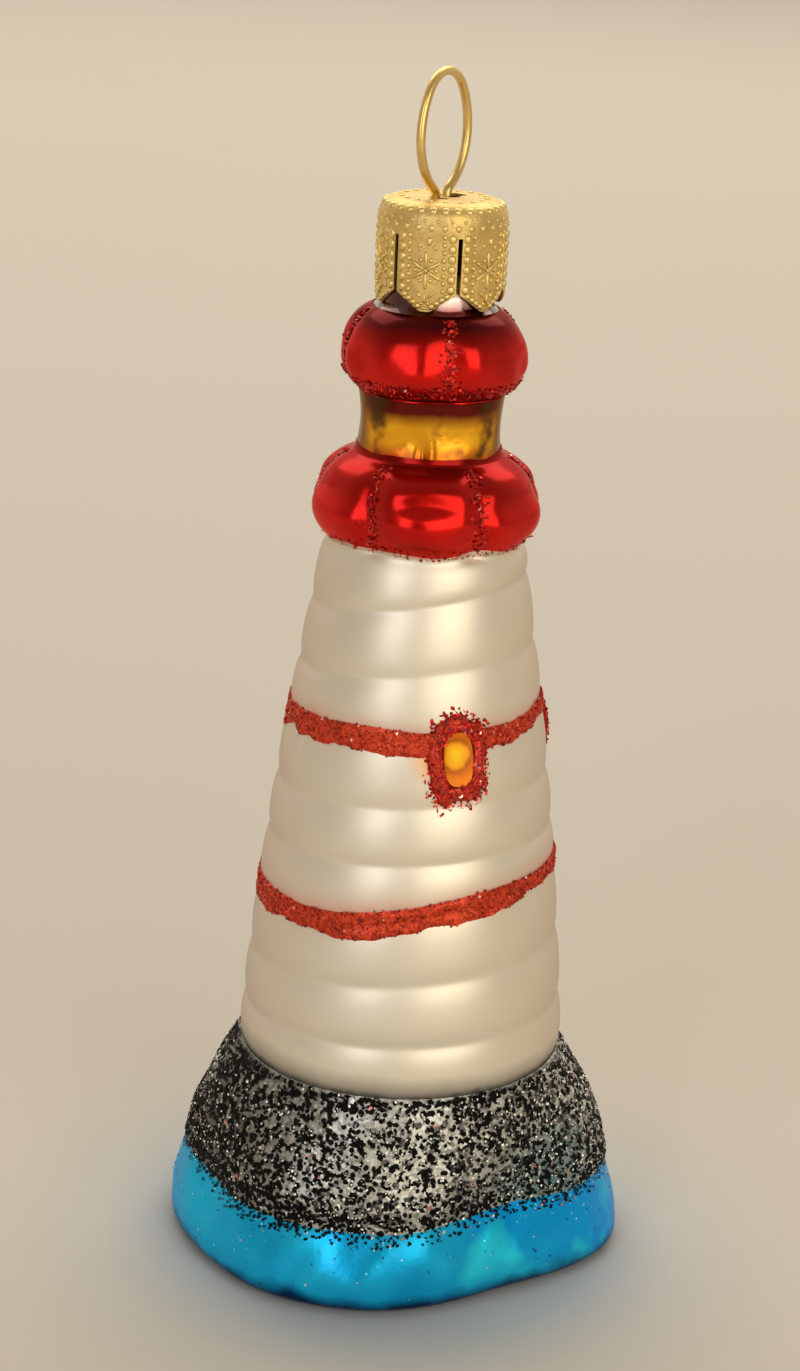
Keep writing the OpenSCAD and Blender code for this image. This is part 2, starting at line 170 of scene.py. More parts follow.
def base_radius(z, a):
    rise = 1 - np.clip(z, 0, SEA_EDGE_H) / SEA_EDGE_H
    edge = mix(UNDERSIDE_R, SEA_R, np.sqrt(1 - rise ** 2))
    upper = np.clip((z - SHORE_Z * 0.25) / (SHORE_Z * 0.6), 0, 1)
    sea = mix(SEA_R, SHORE_R, upper * upper * (3 - 2 * upper))
    t = np.clip((z - SHORE_Z) / (FOOT_Z - SHORE_Z), 0, 1)
    rock = mix(SHORE_R, ROCK_TOP_R, t) + ROCK_SWELL * np.sin(np.pi * t)
    r = np.where(z < SEA_EDGE_H, edge, np.where(z < SHORE_Z, sea, rock))
    share = np.where(z < SHORE_Z, 1.0, (1 - t) ** 0.8)
    fading = np.clip(z / 3, 0, 1) * np.clip((FOOT_Z - 1 - z) / 3, 0, 1)
    tuck = 0.45 * bell(z - shore_at(a), 1.3) * np.clip(z / 3, 0, 1)
    return r - hollow_depth(a) * share + blown(z, a) * fading - tuck


def taper(z):
    t = np.clip((z - FOOT_Z) / TOWER_H, 0, 1)
    return mix(FOOT_R, TOWER_TOP_R, t ** TAPER_BEND)


def window_relief(z, a):
    """The moulded window frames that stand up on the tower's face."""
    total = np.zeros(np.broadcast(z, a).shape)
    for az in list(WINDOW_AZS.values()) + [PLAIN_WINDOW_AZ]:
        u = np.radians(wrap(a - az)) * taper(z)
        d = np.sqrt((u / 2.0) ** 2 + ((z - WINDOW_Z) / 2.75) ** 2)
        total = total + 0.30 * bell(d - 1.0, 0.20) - 0.12 * bell(d, 0.55)
    return total


def tower_radius(z, a):
    """Radius of the tower's glass: the taper, its bulging courses and windows."""
    r = taper(z)
    for k in range(len(COURSE_SHARE)):
        g0, g1 = groove_at(k, a), groove_at(k + 1, a)
        s = np.clip((z - g0) / (g1 - g0), 0, 1)
        inside = (z >= g0) & (z < g1)
        r = r + np.where(inside, COURSE_BULGE * (1 - np.abs(2 * s - 1) ** 3), 0)
    return r + window_relief(z, a) + 0.05 * sind(2 * a + 9 * z) * sind(5 * z + 40)


def crease(a, n, az):
    return np.abs(cosd(n * (a - az) / 2)) ** 14


def gallery_point(s, a):
    """A point of the gallery's cushion; s runs from -62 under it to 82 on top."""
    mid = mix(GALLERY_LOW_Z, GALLERY_HIGH_Z, 0.438)
    c = np.maximum(cosd(s), 0) ** CUSHION_POWER
    down = (mid - GALLERY_LOW_Z) / sind(62)
    up = (GALLERY_HIGH_Z - mid) / sind(82)
    z = mid + sind(s) * np.where(s < 0, down, up)
    r = mix(LANTERN_R, GALLERY_R, c)
    r = r - GALLERY_CREASE * cosd(s) * crease(a, GALLERY_LOBES, GALLERY_RIB_AZ)
    lobe = 30 - np.abs(wrap((a - GALLERY_RIB_AZ) * GALLERY_LOBES) / GALLERY_LOBES)
    swell = 0.30 * cosd(s) * cosd(3 * lobe) ** 2
    dent = bell(lobe, 17) * bell(s - 21 + 3 * sind(5 * a), 8)
    sag = 0.10 * sind(9 * a + 3 * s) * cosd(s)
    return r + swell - 0.55 * dent + sag, z


def roof_point(s, a):
    """A point of the roof's cushion; s runs from -75 under the eave to 78 on top."""
    mid = mix(ROOF_LOW_Z, ROOF_HIGH_Z, 0.401)
    c = np.maximum(cosd(s), 0) ** CUSHION_POWER
    down = (mid - ROOF_LOW_Z) / sind(75)
    up = (ROOF_HIGH_Z - mid) / sind(78)
    z = mid + sind(s) * np.where(s < 0, down, up)
    r = mix(NECK_R, ROOF_R, c)
    r = r - ROOF_CREASE * cosd(s) * crease(a, ROOF_LOBES, ROOF_RIB_AZ)
    under = np.clip((-s - 50) / 25, 0, 1)
    r = np.maximum(r, mix(0, LANTERN_R - 0.2, under))
    lobe = 45 - np.abs(wrap((a - ROOF_RIB_AZ) * ROOF_LOBES) / ROOF_LOBES)
    swell = 0.25 * cosd(s) * cosd(2 * lobe) ** 2
    dent = bell(lobe - 14, 8) * bell(s - 2 + 4 * sind(3 * a), 12)
    sag = 0.10 * sind(7 * a + 4 * s) * cosd(s)
    return r + swell - 0.34 * dent + sag, z


def lantern_point(t, a):
    z = mix(GALLERY_HIGH_Z, ROOF_LOW_Z, t)
    pane = 0.30 * cosd(4 * (a - LANTERN_CORNER_AZ)) * np.sin(np.pi * t)
    dents = 0.45 * bell(wrap(a + 40), 8) * bell(t - 0.38, 0.2)
    dents = dents + 0.42 * bell(wrap(a + 27), 3.2) * bell(t - 0.15, 0.22)
    dents = dents + 0.34 * bell(wrap(a - 4), 11) * bell(t - 0.45, 0.22)
    dents = dents - 0.15 * bell(wrap(a + 15), 7) * bell(t - 0.3, 0.25)
    return LANTERN_R + pane - dents + 0.05 * cosd(3 * a + 200 * t), z


def neck_point(t, a):
    z = mix(ROOF_HIGH_Z, GLASS_TOP_Z, t)
    return NECK_R + 0 * a, z


def on_body(r, z, a):
    """Metres from radius, height and azimuth."""
    return np.stack([r * sind(a), -r * cosd(a), z + 0 * a], -1) * MM


# ---------------------------------------------------------------------------
# Modelling helpers.
# ---------------------------------------------------------------------------
def deselect_all():
    if bpy.context.object and bpy.context.object.mode != "OBJECT":
        bpy.ops.object.mode_set(mode="OBJECT")
    bpy.ops.object.select_all(action="DESELECT")


def activate(obj):
    deselect_all()
    obj.select_set(True)
    bpy.context.view_layer.objects.active = obj


def edit_all(action="SELECT"):
    bpy.ops.object.mode_set(mode="EDIT")
    bpy.ops.mesh.select_all(action=action)


def smooth(obj, degrees):
    activate(obj)
    bpy.ops.object.shade_smooth_by_angle(angle=math.radians(degrees))


def rename(obj, name):
    """Names an object and its mesh alike."""
    obj.name = name
    obj.data.name = name
    return obj


def apply_modifier(obj, kind, **settings):
    activate(obj)
    mod = obj.modifiers.new(kind.lower(), kind)
    for key, value in settings.items():
        setattr(mod, key, value)
    bpy.ops.object.modifier_apply(modifier=mod.name)


def recalculate(obj, inside=False):
    activate(obj)
    edit_all()
    bpy.ops.mesh.remove_doubles(threshold=1e-7)
    bpy.ops.mesh.normals_make_consistent(inside=inside)
    bpy.ops.object.mode_set(mode="OBJECT")


def fill_rim(obj, chosen):
    """Closes the ring of edges whose two ends both lie where chosen(place) holds."""
    activate(obj)
    edit_all("DESELECT")
    bpy.ops.object.mode_set(mode="OBJECT")
    for e in obj.data.edges:
        e.select = all(chosen(obj.data.vertices[i].co) for i in e.vertices)
    bpy.ops.object.mode_set(mode="EDIT")
    bpy.ops.mesh.select_mode(type="EDGE")
    bpy.ops.mesh.edge_face_add()
    bpy.ops.object.mode_set(mode="OBJECT")
    recalculate(obj)


def coords(obj):
    co = np.empty(len(obj.data.vertices) * 3)
    obj.data.vertices.foreach_get("co", co)
    return co.reshape(-1, 3)


def set_coords(obj, co):
    obj.data.vertices.foreach_set("co", np.ascontiguousarray(co).ravel())
    obj.data.update()


def face_outwards(obj, centre):
    """Turns an open skin so that its faces look away from a line up Z at centre."""
    p = obj.data.polygons[len(obj.data.polygons) // 2]
    away = Vector((p.center.x - centre[0], p.center.y - centre[1], 0))
    if p.normal.dot(away) < 0:
        activate(obj)
        edit_all()
        bpy.ops.mesh.flip_normals()
        bpy.ops.object.mode_set(mode="OBJECT")


def turned_ring(name, rows, columns=COLUMNS):
    """An open tube of unit radius and one unit a row, extruded from a circle."""
    deselect_all()
    bpy.ops.mesh.primitive_circle_add(vertices=columns, radius=1.0, fill_type="NOTHING")
    obj = bpy.context.object
    edit_all()
    for _ in range(rows - 1):
        bpy.ops.mesh.extrude_region_move(TRANSFORM_OT_translate={"value": (0, 0, 1)})
    bpy.ops.object.mode_set(mode="OBJECT")
    return rename(obj, name)


def lathe(name, rings, thickness, columns=COLUMNS, smooth_levels=1):
    """A blown skin: one function of azimuth per ring, each giving (radius, height).

    The skin gets its thickness inwards, in millimetres."""
    obj = turned_ring(name, len(rings), columns)
    co = coords(obj)
    level = np.rint(co[:, 2]).astype(int)
    az = np.degrees(np.arctan2(co[:, 0], -co[:, 1]))
    for i, ring in enumerate(rings):
        pick = level == i
        a = az[pick]
        r, z = ring(a)
        co[pick] = on_body(r, z, a)
    set_coords(obj, co)
    face_outwards(obj, (0, 0))
    if smooth_levels:
        apply_modifier(obj, "SUBSURF", levels=smooth_levels, render_levels=smooth_levels)
    if thickness:
        apply_modifier(obj, "SOLIDIFY", thickness=thickness * MM, offset=-1.0,
                       use_even_offset=True)
    smooth(obj, 50)
    return obj


def moulded_grain(name, vertices, depth, top=1.0):
    """One flake or grain: a flat face on top, closed to a point below."""
    deselect_all()
    bpy.ops.mesh.primitive_circle_add(vertices=vertices, radius=1.0, fill_type="NGON")
    obj = bpy.context.object
    edit_all()
    bpy.ops.mesh.extrude_region_move(TRANSFORM_OT_translate={"value": (0, 0, -depth)})
    bpy.ops.mesh.merge(type="CENTER")
    bpy.ops.object.mode_set(mode="OBJECT")
    rename(obj, name)
    recalculate(obj)
    if top != 1.0:
        co = coords(obj)
        co[:, :2] *= np.where(co[:, 2:] > -1e-6, top, 1.0)
        set_coords(obj, co)
    return obj


def leaning_axes(normals, sizes, rng, tilt, slim=1.0):
    """Axes for copies that lie flat on a surface but for a lean of about tilt degrees.

    slim is the least width of a copy as a share of its length."""
    n = len(normals)
    normals = normals / np.linalg.norm(normals, axis=1, keepdims=True)
    lean = rng.normal(0, np.tan(np.radians(tilt)) / 1.5, (n, 3))
    w = normals + lean
    w /= np.linalg.norm(w, axis=1, keepdims=True)
    u = np.cross(w, rng.normal(0, 1, (n, 3)))
    u /= np.linalg.norm(u, axis=1, keepdims=True)
    v = np.cross(w, u) * rng.uniform(slim, 1.0, n)[:, None]
    return np.stack([u, v, w], 1) * np.asarray(sizes)[:, None, None]


def scatter(name, pattern, places, axes, kinds):
    """Joins copies of a small pattern mesh, one at each place, into one piece.

    axes holds each copy's three scaled axes; kinds its material number."""
    base = coords(pattern)
    polys = [list(p.vertices) for p in pattern.data.polygons]
    n = len(places)
    co = np.einsum("kc,nca->nka", base, axes) + places[:, None, :]
    m = len(base)
    faces = [[i * m + j for j in poly] for i in range(n) for poly in polys]
    mesh = bpy.data.meshes.new(name)
    mesh.from_pydata(co.reshape(-1, 3).tolist(), [], faces)
    mesh.polygons.foreach_set("material_index",
                              np.repeat(np.asarray(kinds, int), len(polys)))
    mesh.update()
    obj = bpy.data.objects.new(name, mesh)
    bpy.context.scene.collection.objects.link(obj)
    bpy.data.objects.remove(pattern)
    return obj


def surface_normals(point, s, a):
    """Outward normals of a surface given as point(s, a) -> metres."""
    ds, da = 0.02, 0.2
    ps = point(s + ds, a) - point(s - ds, a)
    pa = point(s, a + da) - point(s, a - da)
    n = np.cross(pa, ps)
    outward = np.stack([sind(a), -cosd(a), 0 * a], -1)
    flip = np.sign((n * outward).sum(1))
    return n * np.where(flip == 0, 1, flip)[:, None]


def join(objs, name):
    deselect_all()
    for o in objs:
        o.select_set(True)
    bpy.context.view_layer.objects.active = objs[0]
    if len(objs) > 1:
        bpy.ops.object.join()
    return rename(bpy.context.object, name)


def finish_piece(obj, slot, materials, *nodes):
    """Gives a piece its materials and ties it to the frame."""
    kept = np.zeros(len(obj.data.polygons), int)
    obj.data.polygons.foreach_get("material_index", kept)
    obj.data.materials.clear()
    for m in materials:
        obj.data.materials.append(m)
    obj.data.polygons.foreach_set("material_index", np.minimum(kept, len(materials) - 1))
    obj.data.update()
    for node in nodes:
        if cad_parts[node].name == obj.name:
            raise RuntimeError(f"piece {obj.name} took a CAD node's name")
    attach(obj, "root")
    if nodes:
        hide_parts(*nodes)
    return obj


# ---------------------------------------------------------------------------
# Shader node groups that several finishes share.
# ---------------------------------------------------------------------------
def new_group(name, inputs, outputs):
    group = bpy.data.node_groups.new(name, "ShaderNodeTree")
    for label, kind, default in inputs:
        socket = group.interface.new_socket(label, in_out="INPUT", socket_type=kind)
        if default is not None:
            socket.default_value = default
    for label, kind in outputs:
        group.interface.new_socket(label, in_out="OUTPUT", socket_type=kind)
    return group, group.nodes.new("NodeGroupInput"), group.nodes.new("NodeGroupOutput")


def math_node(tree, operation, a, b=None):
    node = tree.nodes.new("ShaderNodeMath")
    node.operation = operation
    for i, value in enumerate((a, b)):
        if value is None:
            continue
        if isinstance(value, (int, float)):
            node.inputs[i].default_value = value
        else:
            tree.links.new(value, node.inputs[i])
    return node.outputs[0]


def scaled(tree, value, factor, offset):
    node = math_node(tree, "MULTIPLY_ADD", value, factor).node
    node.inputs[2].default_value = offset
    return node.outputs[0]


def clamped(tree, value):
    node = tree.nodes.new("ShaderNodeClamp")
    tree.links.new(value, node.inputs["Value"])
    return node.outputs[0]


def vector_node(tree, operation, vector, other):
    """The distance or dot product of a place and a fixed vector."""
    node = tree.nodes.new("ShaderNodeVectorMath")
    node.operation = operation
    node.inputs[1].default_value = other
    tree.links.new(vector, node.inputs[0])
    return node.outputs["Value"]


def distance_share(tree, vector, point, reach):
    """Distance from a point as a share of reach, in metres."""
    return math_node(tree, "DIVIDE", vector_node(tree, "DISTANCE", vector, point), reach)


def nearness(tree, vector, point, reach):
    """1 at a point, falling to 0 at reach metres from it."""
    share = distance_share(tree, vector, point, reach)
    return clamped(tree, math_node(tree, "SUBTRACT", 1.0, share))


def facing_edge(tree, blend):
    node = tree.nodes.new("ShaderNodeLayerWeight")
    node.inputs["Blend"].default_value = blend
    return node.outputs["Facing"]


def random_cells(tree, vector, scale):
    """Two random values for each small cell of space."""
    cell = tree.nodes.new("ShaderNodeTexVoronoi")
    cell.inputs["Scale"].default_value = scale
    tree.links.new(vector, cell.inputs["Vector"])
    split = tree.nodes.new("ShaderNodeSeparateColor")
    tree.links.new(cell.outputs["Color"], split.inputs["Color"])
    return split.outputs["Red"], split.outputs["Green"]


def noise_node(tree, vector, scale, detail=3.0, roughness=0.5):
    node = tree.nodes.new("ShaderNodeTexNoise")
    tree.links.new(vector, node.inputs["Vector"])
    for label, value in (("Scale", scale), ("Detail", detail), ("Roughness", roughness)):
        if isinstance(value, (int, float)):
            node.inputs[label].default_value = value
        else:
            tree.links.new(value, node.inputs[label])
    return node.outputs["Fac"]


def ramp_node(tree, value, stops):
    node = tree.nodes.new("ShaderNodeValToRGB")
    tree.links.new(value, node.inputs["Fac"])
    ramp = node.color_ramp
    while len(ramp.elements) < len(stops):
        ramp.elements.new(0.5)
    for element, (place, colour) in zip(ramp.elements, stops):
        element.position = place
        element.color = colour if len(colour) == 4 else (*colour, 1)
    return node.outputs["Color"]


def uneven_lacquer_group():
    """Sprayed lacquer: slow drifts in thickness, fine orange peel, small pits."""
    group, inp, out = new_group(
        "uneven_lacquer",
        [("Vector", "NodeSocketVector", None), ("Drift Scale", "NodeSocketFloat", 120.0),
         ("Peel Scale", "NodeSocketFloat", 1400.0), ("Pit Scale", "NodeSocketFloat", 900.0)],
        [("Drift", "NodeSocketFloat"), ("Height", "NodeSocketFloat"),
         ("Pits", "NodeSocketFloat")])
    vec = inp.outputs["Vector"]
    drift = noise_node(group, vec, inp.outputs["Drift Scale"], 2.0)
    peel = noise_node(group, vec, inp.outputs["Peel Scale"], 2.0)
    pit = group.nodes.new("ShaderNodeTexVoronoi")
    group.links.new(vec, pit.inputs["Vector"])
    group.links.new(inp.outputs["Pit Scale"], pit.inputs["Scale"])
    pits = math_node(group, "LESS_THAN", pit.outputs["Distance"], 0.12)
    height = math_node(group, "MULTIPLY", math_node(group, "SUBTRACT", 1.0, pits), 0.35)
    height = math_node(group, "ADD", height, math_node(group, "MULTIPLY", peel, 0.4))
    height = math_node(group, "ADD", height, math_node(group, "MULTIPLY", drift, 1.2))
    group.links.new(drift, out.inputs["Drift"])
    group.links.new(height, out.inputs["Height"])
    group.links.new(pits, out.inputs["Pits"])
    return group


def height_band_group():
    """How far a point is between two heights, from 0 to 1, with an uneven edge."""
    group, inp, out = new_group(
        "height_band",
        [("Vector", "NodeSocketVector", None), ("From", "NodeSocketFloat", 0.0),
         ("To", "NodeSocketFloat", 1.0), ("Wander", "NodeSocketFloat", 0.0005)],
        [("Share", "NodeSocketFloat")])
    split = group.nodes.new("ShaderNodeSeparateXYZ")
    group.links.new(inp.outputs["Vector"], split.inputs["Vector"])
    wander = noise_node(group, inp.outputs["Vector"], 220.0, 4.0)
    wander = math_node(group, "MULTIPLY", math_node(group, "SUBTRACT", wander, 0.5),
                       inp.outputs["Wander"])
    z = math_node(group, "ADD", split.outputs["Z"], wander)
    span = math_node(group, "SUBTRACT", inp.outputs["To"], inp.outputs["From"])
    share = math_node(group, "DIVIDE",
                      math_node(group, "SUBTRACT", z, inp.outputs["From"]), span)
    group.links.new(clamped(group, share), out.inputs["Share"])
    return group


def use_group(tree, name, vector, **values):
    node = tree.nodes.new("ShaderNodeGroup")
    node.node_tree = bpy.data.node_groups[name]
    tree.links.new(vector, node.inputs["Vector"])
    for key, value in values.items():
        node.inputs[key.replace("_", " ")].default_value = value
    return node


def new_material(name, **settings):
    """A material with a Principled shader; settings name its plain sockets."""
    mat = bpy.data.materials.new(name)
    mat.use_nodes = True
    tree = mat.node_tree
    shader = tree.nodes["Principled BSDF"]
    for key, value in settings.items():
        shader.inputs[key.replace("_", " ")].default_value = value
    where = tree.nodes.new("ShaderNodeTexCoord")
    return mat, tree, shader, where.outputs["Object"]


def add_bump(tree, shader, height, strength, distance):
    bump = tree.nodes.new("ShaderNodeBump")
    bump.inputs["Strength"].default_value = strength
    bump.inputs["Distance"].default_value = distance
    tree.links.new(height, bump.inputs["Height"])
    tree.links.new(bump.outputs["Normal"], shader.inputs["Normal"])


def mix_colours(tree, fac, a, b):
    node = tree.nodes.new("ShaderNodeMix")
    node.data_type = "RGBA"
    tree.links.new(fac, node.inputs[0])
    for socket, value in ((node.inputs[6], a), (node.inputs[7], b)):
        if isinstance(value, (tuple, list)):
            socket.default_value = (*value[:3], 1)
        else:
            tree.links.new(value, socket)
    return node.outputs[2]


def lacquer_over_silver(name, deep, thin, roughness, metallic=0.96, bump=0.12,
                        drift_scale=120.0, coat=0.8, rim=(1.0, 1.0, 1.0)):
    """Transparent lacquer over the silvering: thick where deep, pale where thin."""
    mat, tree, shader, vec = new_material(
        name, Metallic=metallic, Coat_Weight=coat, Coat_Roughness=0.04, Coat_IOR=1.5,
        Specular_Tint=(*rim, 1.0))
    film = use_group(tree, "uneven_lacquer", vec, Drift_Scale=drift_scale)
    colour = mix_colours(tree, film.outputs["Drift"], deep, thin)
    tree.links.new(colour, shader.inputs["Base Color"])
    rough = scaled(tree, film.outputs["Drift"], 0.12, roughness - 0.06)
    tree.links.new(rough, shader.inputs["Roughness"])
    add_bump(tree, shader, film.outputs["Height"], bump, 0.00012)
    return mat, tree, shader, vec, colour


def glitter_material(name, colour, second, metallic=0.9, roughness=0.3, scale=2500.0,
                     gloss=0.5):
    """Glitter grains: each small cell of space takes its own shade."""
    mat, tree, shader, vec = new_material(name, Metallic=metallic,
                                          Specular_IOR_Level=gloss)
    shade, polish = random_cells(tree, vec, scale)
    tree.links.new(mix_colours(tree, shade, colour, second), shader.inputs["Base Color"])
    tree.links.new(scaled(tree, polish, 0.25, roughness - 0.12), shader.inputs["Roughness"])
    return mat


# ---------------------------------------------------------------------------
# Settings a user would change.
# ---------------------------------------------------------------------------
class OrnamentSizes(bpy.types.PropertyGroup):
    flake_size: FloatProperty(
        name="Rock flake size", description="Radius of a flake of the rock's glitter",
        default=0.31 * MM, unit="LENGTH")
    flake_count: IntProperty(
        name="Rock flakes", description="How many flakes cover the rock", default=12500)
    grain_size: FloatProperty(
        name="Line grain size", description="Radius of a grain in the red bands",
        default=0.15 * MM, unit="LENGTH")
    coarse_grain_size: FloatProperty(
        name="Coarse grain size", description="Radius of a grain on windows and ribs",
        default=0.19 * MM, unit="LENGTH")
    wire_radius: FloatProperty(
        name="Wire radius", description="Half the thickness of the hanger's wire",
        default=0.45 * MM, unit="LENGTH")


def colour_prop(name, description, default):
    return FloatVectorProperty(name=name, description=description, default=default,
                               subtype="COLOR", size=3, min=0.0, max=1.0)


class OrnamentColours(bpy.types.PropertyGroup):
    sea_deep: colour_prop("Sea, thick", "Sea lacquer where it is thick", (0.0, 0.29, 0.74))
    sea_thin: colour_prop("Sea, thin", "Sea lacquer where it is thin", (0.02, 0.66, 1.0))
    tower_pearl: colour_prop("Tower pearl", "Pearl lacquer", (0.88, 0.84, 0.735))
    red_deep: colour_prop("Red, thick", "Red lacquer where it is thick", (0.42, 0.002, 0.002))
    red_thin: colour_prop("Red, thin", "Red lacquer where it is thin", (0.86, 0.012, 0.006))
    amber_deep: colour_prop("Amber, thick", "Amber lacquer where thick", (0.85, 0.26, 0.006))
    amber_thin: colour_prop("Amber, thin", "Amber lacquer where thin", (1.0, 0.60, 0.025))
    band_red: colour_prop("Band red", "Glitter of the two bands", (0.52, 0.042, 0.009))
    frame_red: colour_prop("Frame red", "Coarse glitter", (0.50, 0.020, 0.012))
    gold: colour_prop("Gold", "Cap and wire", (0.94, 0.69, 0.27))


def sizes():
    return bpy.context.scene.ornament_sizes


def colours():
    return bpy.context.scene.ornament_colours


# ---------------------------------------------------------------------------
# Materials.
# ---------------------------------------------------------------------------
def sea_material():
    c = colours()
    mat, tree, shader, vec, colour = lacquer_over_silver(
        "sea_lacquer", tuple(c.sea_deep), tuple(c.sea_thin), 0.27, drift_scale=110.0,
        metallic=0.62, bump=0.5, coat=0.1, rim=(0.05, 0.6, 0.95))
    patch = ramp_node(tree, noise_node(tree, vec, 70.0, 1.0),
                      [(0.50, (0, 0, 0)), (0.66, (0.8, 0.8, 0.8))])
    colour = mix_colours(tree, patch, colour, (0.0, 0.33, 0.95))
    pale = ramp_node(tree, noise_node(tree, vec, 150.0, 2.0),
                     [(0.58, (0, 0, 0)), (0.70, (0.7, 0.7, 0.7))])
    colour = mix_colours(tree, pale, colour, (0.03, 0.80, 1.0))
    foot = use_group(tree, "height_band", vec, From=0.7 * MM, To=2.3 * MM, Wander=3.4 * MM)
    low_edge = mix_colours(tree, foot.outputs["Share"], (0.0, 0.02, 0.09), colour)
    tree.links.new(low_edge, shader.inputs["Base Color"])
    return mat


def tilted_height(tree, vector, tilt, radius):
    """Height over a plane that rises by tilt, at a given radius, towards one side."""
    slope = tilt / radius
    across = (-slope * float(sind(TILT_AZ)), slope * float(cosd(TILT_AZ)), 1.0)
    return vector_node(tree, "DOT_PRODUCT", vector, across)


def blush_over(tree, vector, height, start, depth):
    """A soft tint that starts at a height and fades out depth above it."""
    wander = noise_node(tree, vector, 160.0, 3.0)
    above = math_node(tree, "SUBTRACT", height, start)
    fade = math_node(tree, "DIVIDE", above, depth)
    fade = math_node(tree, "SUBTRACT", 1.0, fade)
    gate = math_node(tree, "GREATER_THAN", above, -0.8 * MM)
    soft = math_node(tree, "MULTIPLY", clamped(tree, fade), gate)
    return math_node(tree, "MULTIPLY", math_node(tree, "MULTIPLY", soft, soft), wander)


def pearl_material():
    c = colours()
    mat, tree, shader, vec = new_material(
        "tower_pearl", Metallic=0.66, Coat_Weight=0.15, Coat_Roughness=0.35)
    film = use_group(tree, "uneven_lacquer", vec, Drift_Scale=60.0, Peel_Scale=2600.0)
    pearl = tuple(c.tower_pearl)
    warm = (pearl[0] * 1.02, pearl[1] * 0.94, pearl[2] * 0.86)
    colour = mix_colours(tree, film.outputs["Drift"], warm, pearl)
    # The tower's silhouettes turn a darker tan: painted shade and reflection at the edges.
    edge = facing_edge(tree, 0.28)
    colour = mix_colours(tree, edge, colour, (0.50, 0.38, 0.29))
    for k in (LOWER_GROOVE, UPPER_GROOVE):
        radius = float(taper(groove_z(k))) * MM
        height = tilted_height(tree, vec, GROOVE_TILT[k] * MM, radius)
        tint = blush_over(tree, vec, height, (groove_z(k) + 0.8) * MM, 2.6 * MM)
        colour = mix_colours(tree, tint, colour, (0.75, 0.22, 0.14))
    beside = on_body(float(taper(WINDOW_Z)), WINDOW_Z - 0.2, -12.0)
    colour = mix_colours(tree, nearness(tree, vec, beside, 3.0 * MM), colour, (1.0, 0.36, 0.02))
    # Grey darkening at the tower's foot: partly grey overspray from the rock's glitter, partly
    # painted shade and dark reflection of the rock beside it.
    foot = use_group(tree, "height_band", vec, From=(FOOT_Z - 0.4) * MM,
                     To=(FOOT_Z + 2.6) * MM, Wander=1.5 * MM)
    colour = mix_colours(tree, foot.outputs["Share"], (0.20, 0.19, 0.165), colour)
    tree.links.new(colour, shader.inputs["Base Color"])
    rough = scaled(tree, film.outputs["Drift"], 0.12, 0.36)
    tree.links.new(rough, shader.inputs["Roughness"])
    add_bump(tree, shader, film.outputs["Height"], 0.05, 0.0001)
    return mat


def red_material(name, fade_from, fade_to):
    """Red lacquer that darkens from one height to another: partly thicker lacquer, partly painted
    shade and dark reflection next to the part above it.
    """
    c = colours()
    mat, tree, shader, vec, colour = lacquer_over_silver(
        name, tuple(c.red_deep), tuple(c.red_thin), 0.24, drift_scale=190.0, coat=0.12,
        metallic=0.86, bump=0.3, rim=(1.0, 0.3, 0.22))
    shader.inputs["Coat Roughness"].default_value = 0.08
    # Darkening towards the part above: partly thicker lacquer, partly painted shade and dark
    # reflection.
    fade = use_group(tree, "height_band", vec, From=fade_from * MM, To=fade_to * MM,
                     Wander=1.2 * MM)
    dark = mix_colours(tree, fade.outputs["Share"], colour, (0.07, 0.0, 0.001))
    # Paler pinkish red at grazing angles: a painted sheen at the silhouettes.
    edge = facing_edge(tree, 0.08)
    rim = math_node(tree, "MULTIPLY", edge,
                    math_node(tree, "SUBTRACT", 1.0, fade.outputs["Share"]))
    dark = mix_colours(tree, rim, dark, (0.55, 0.18, 0.14))
    tree.links.new(dark, shader.inputs["Base Color"])
    return mat


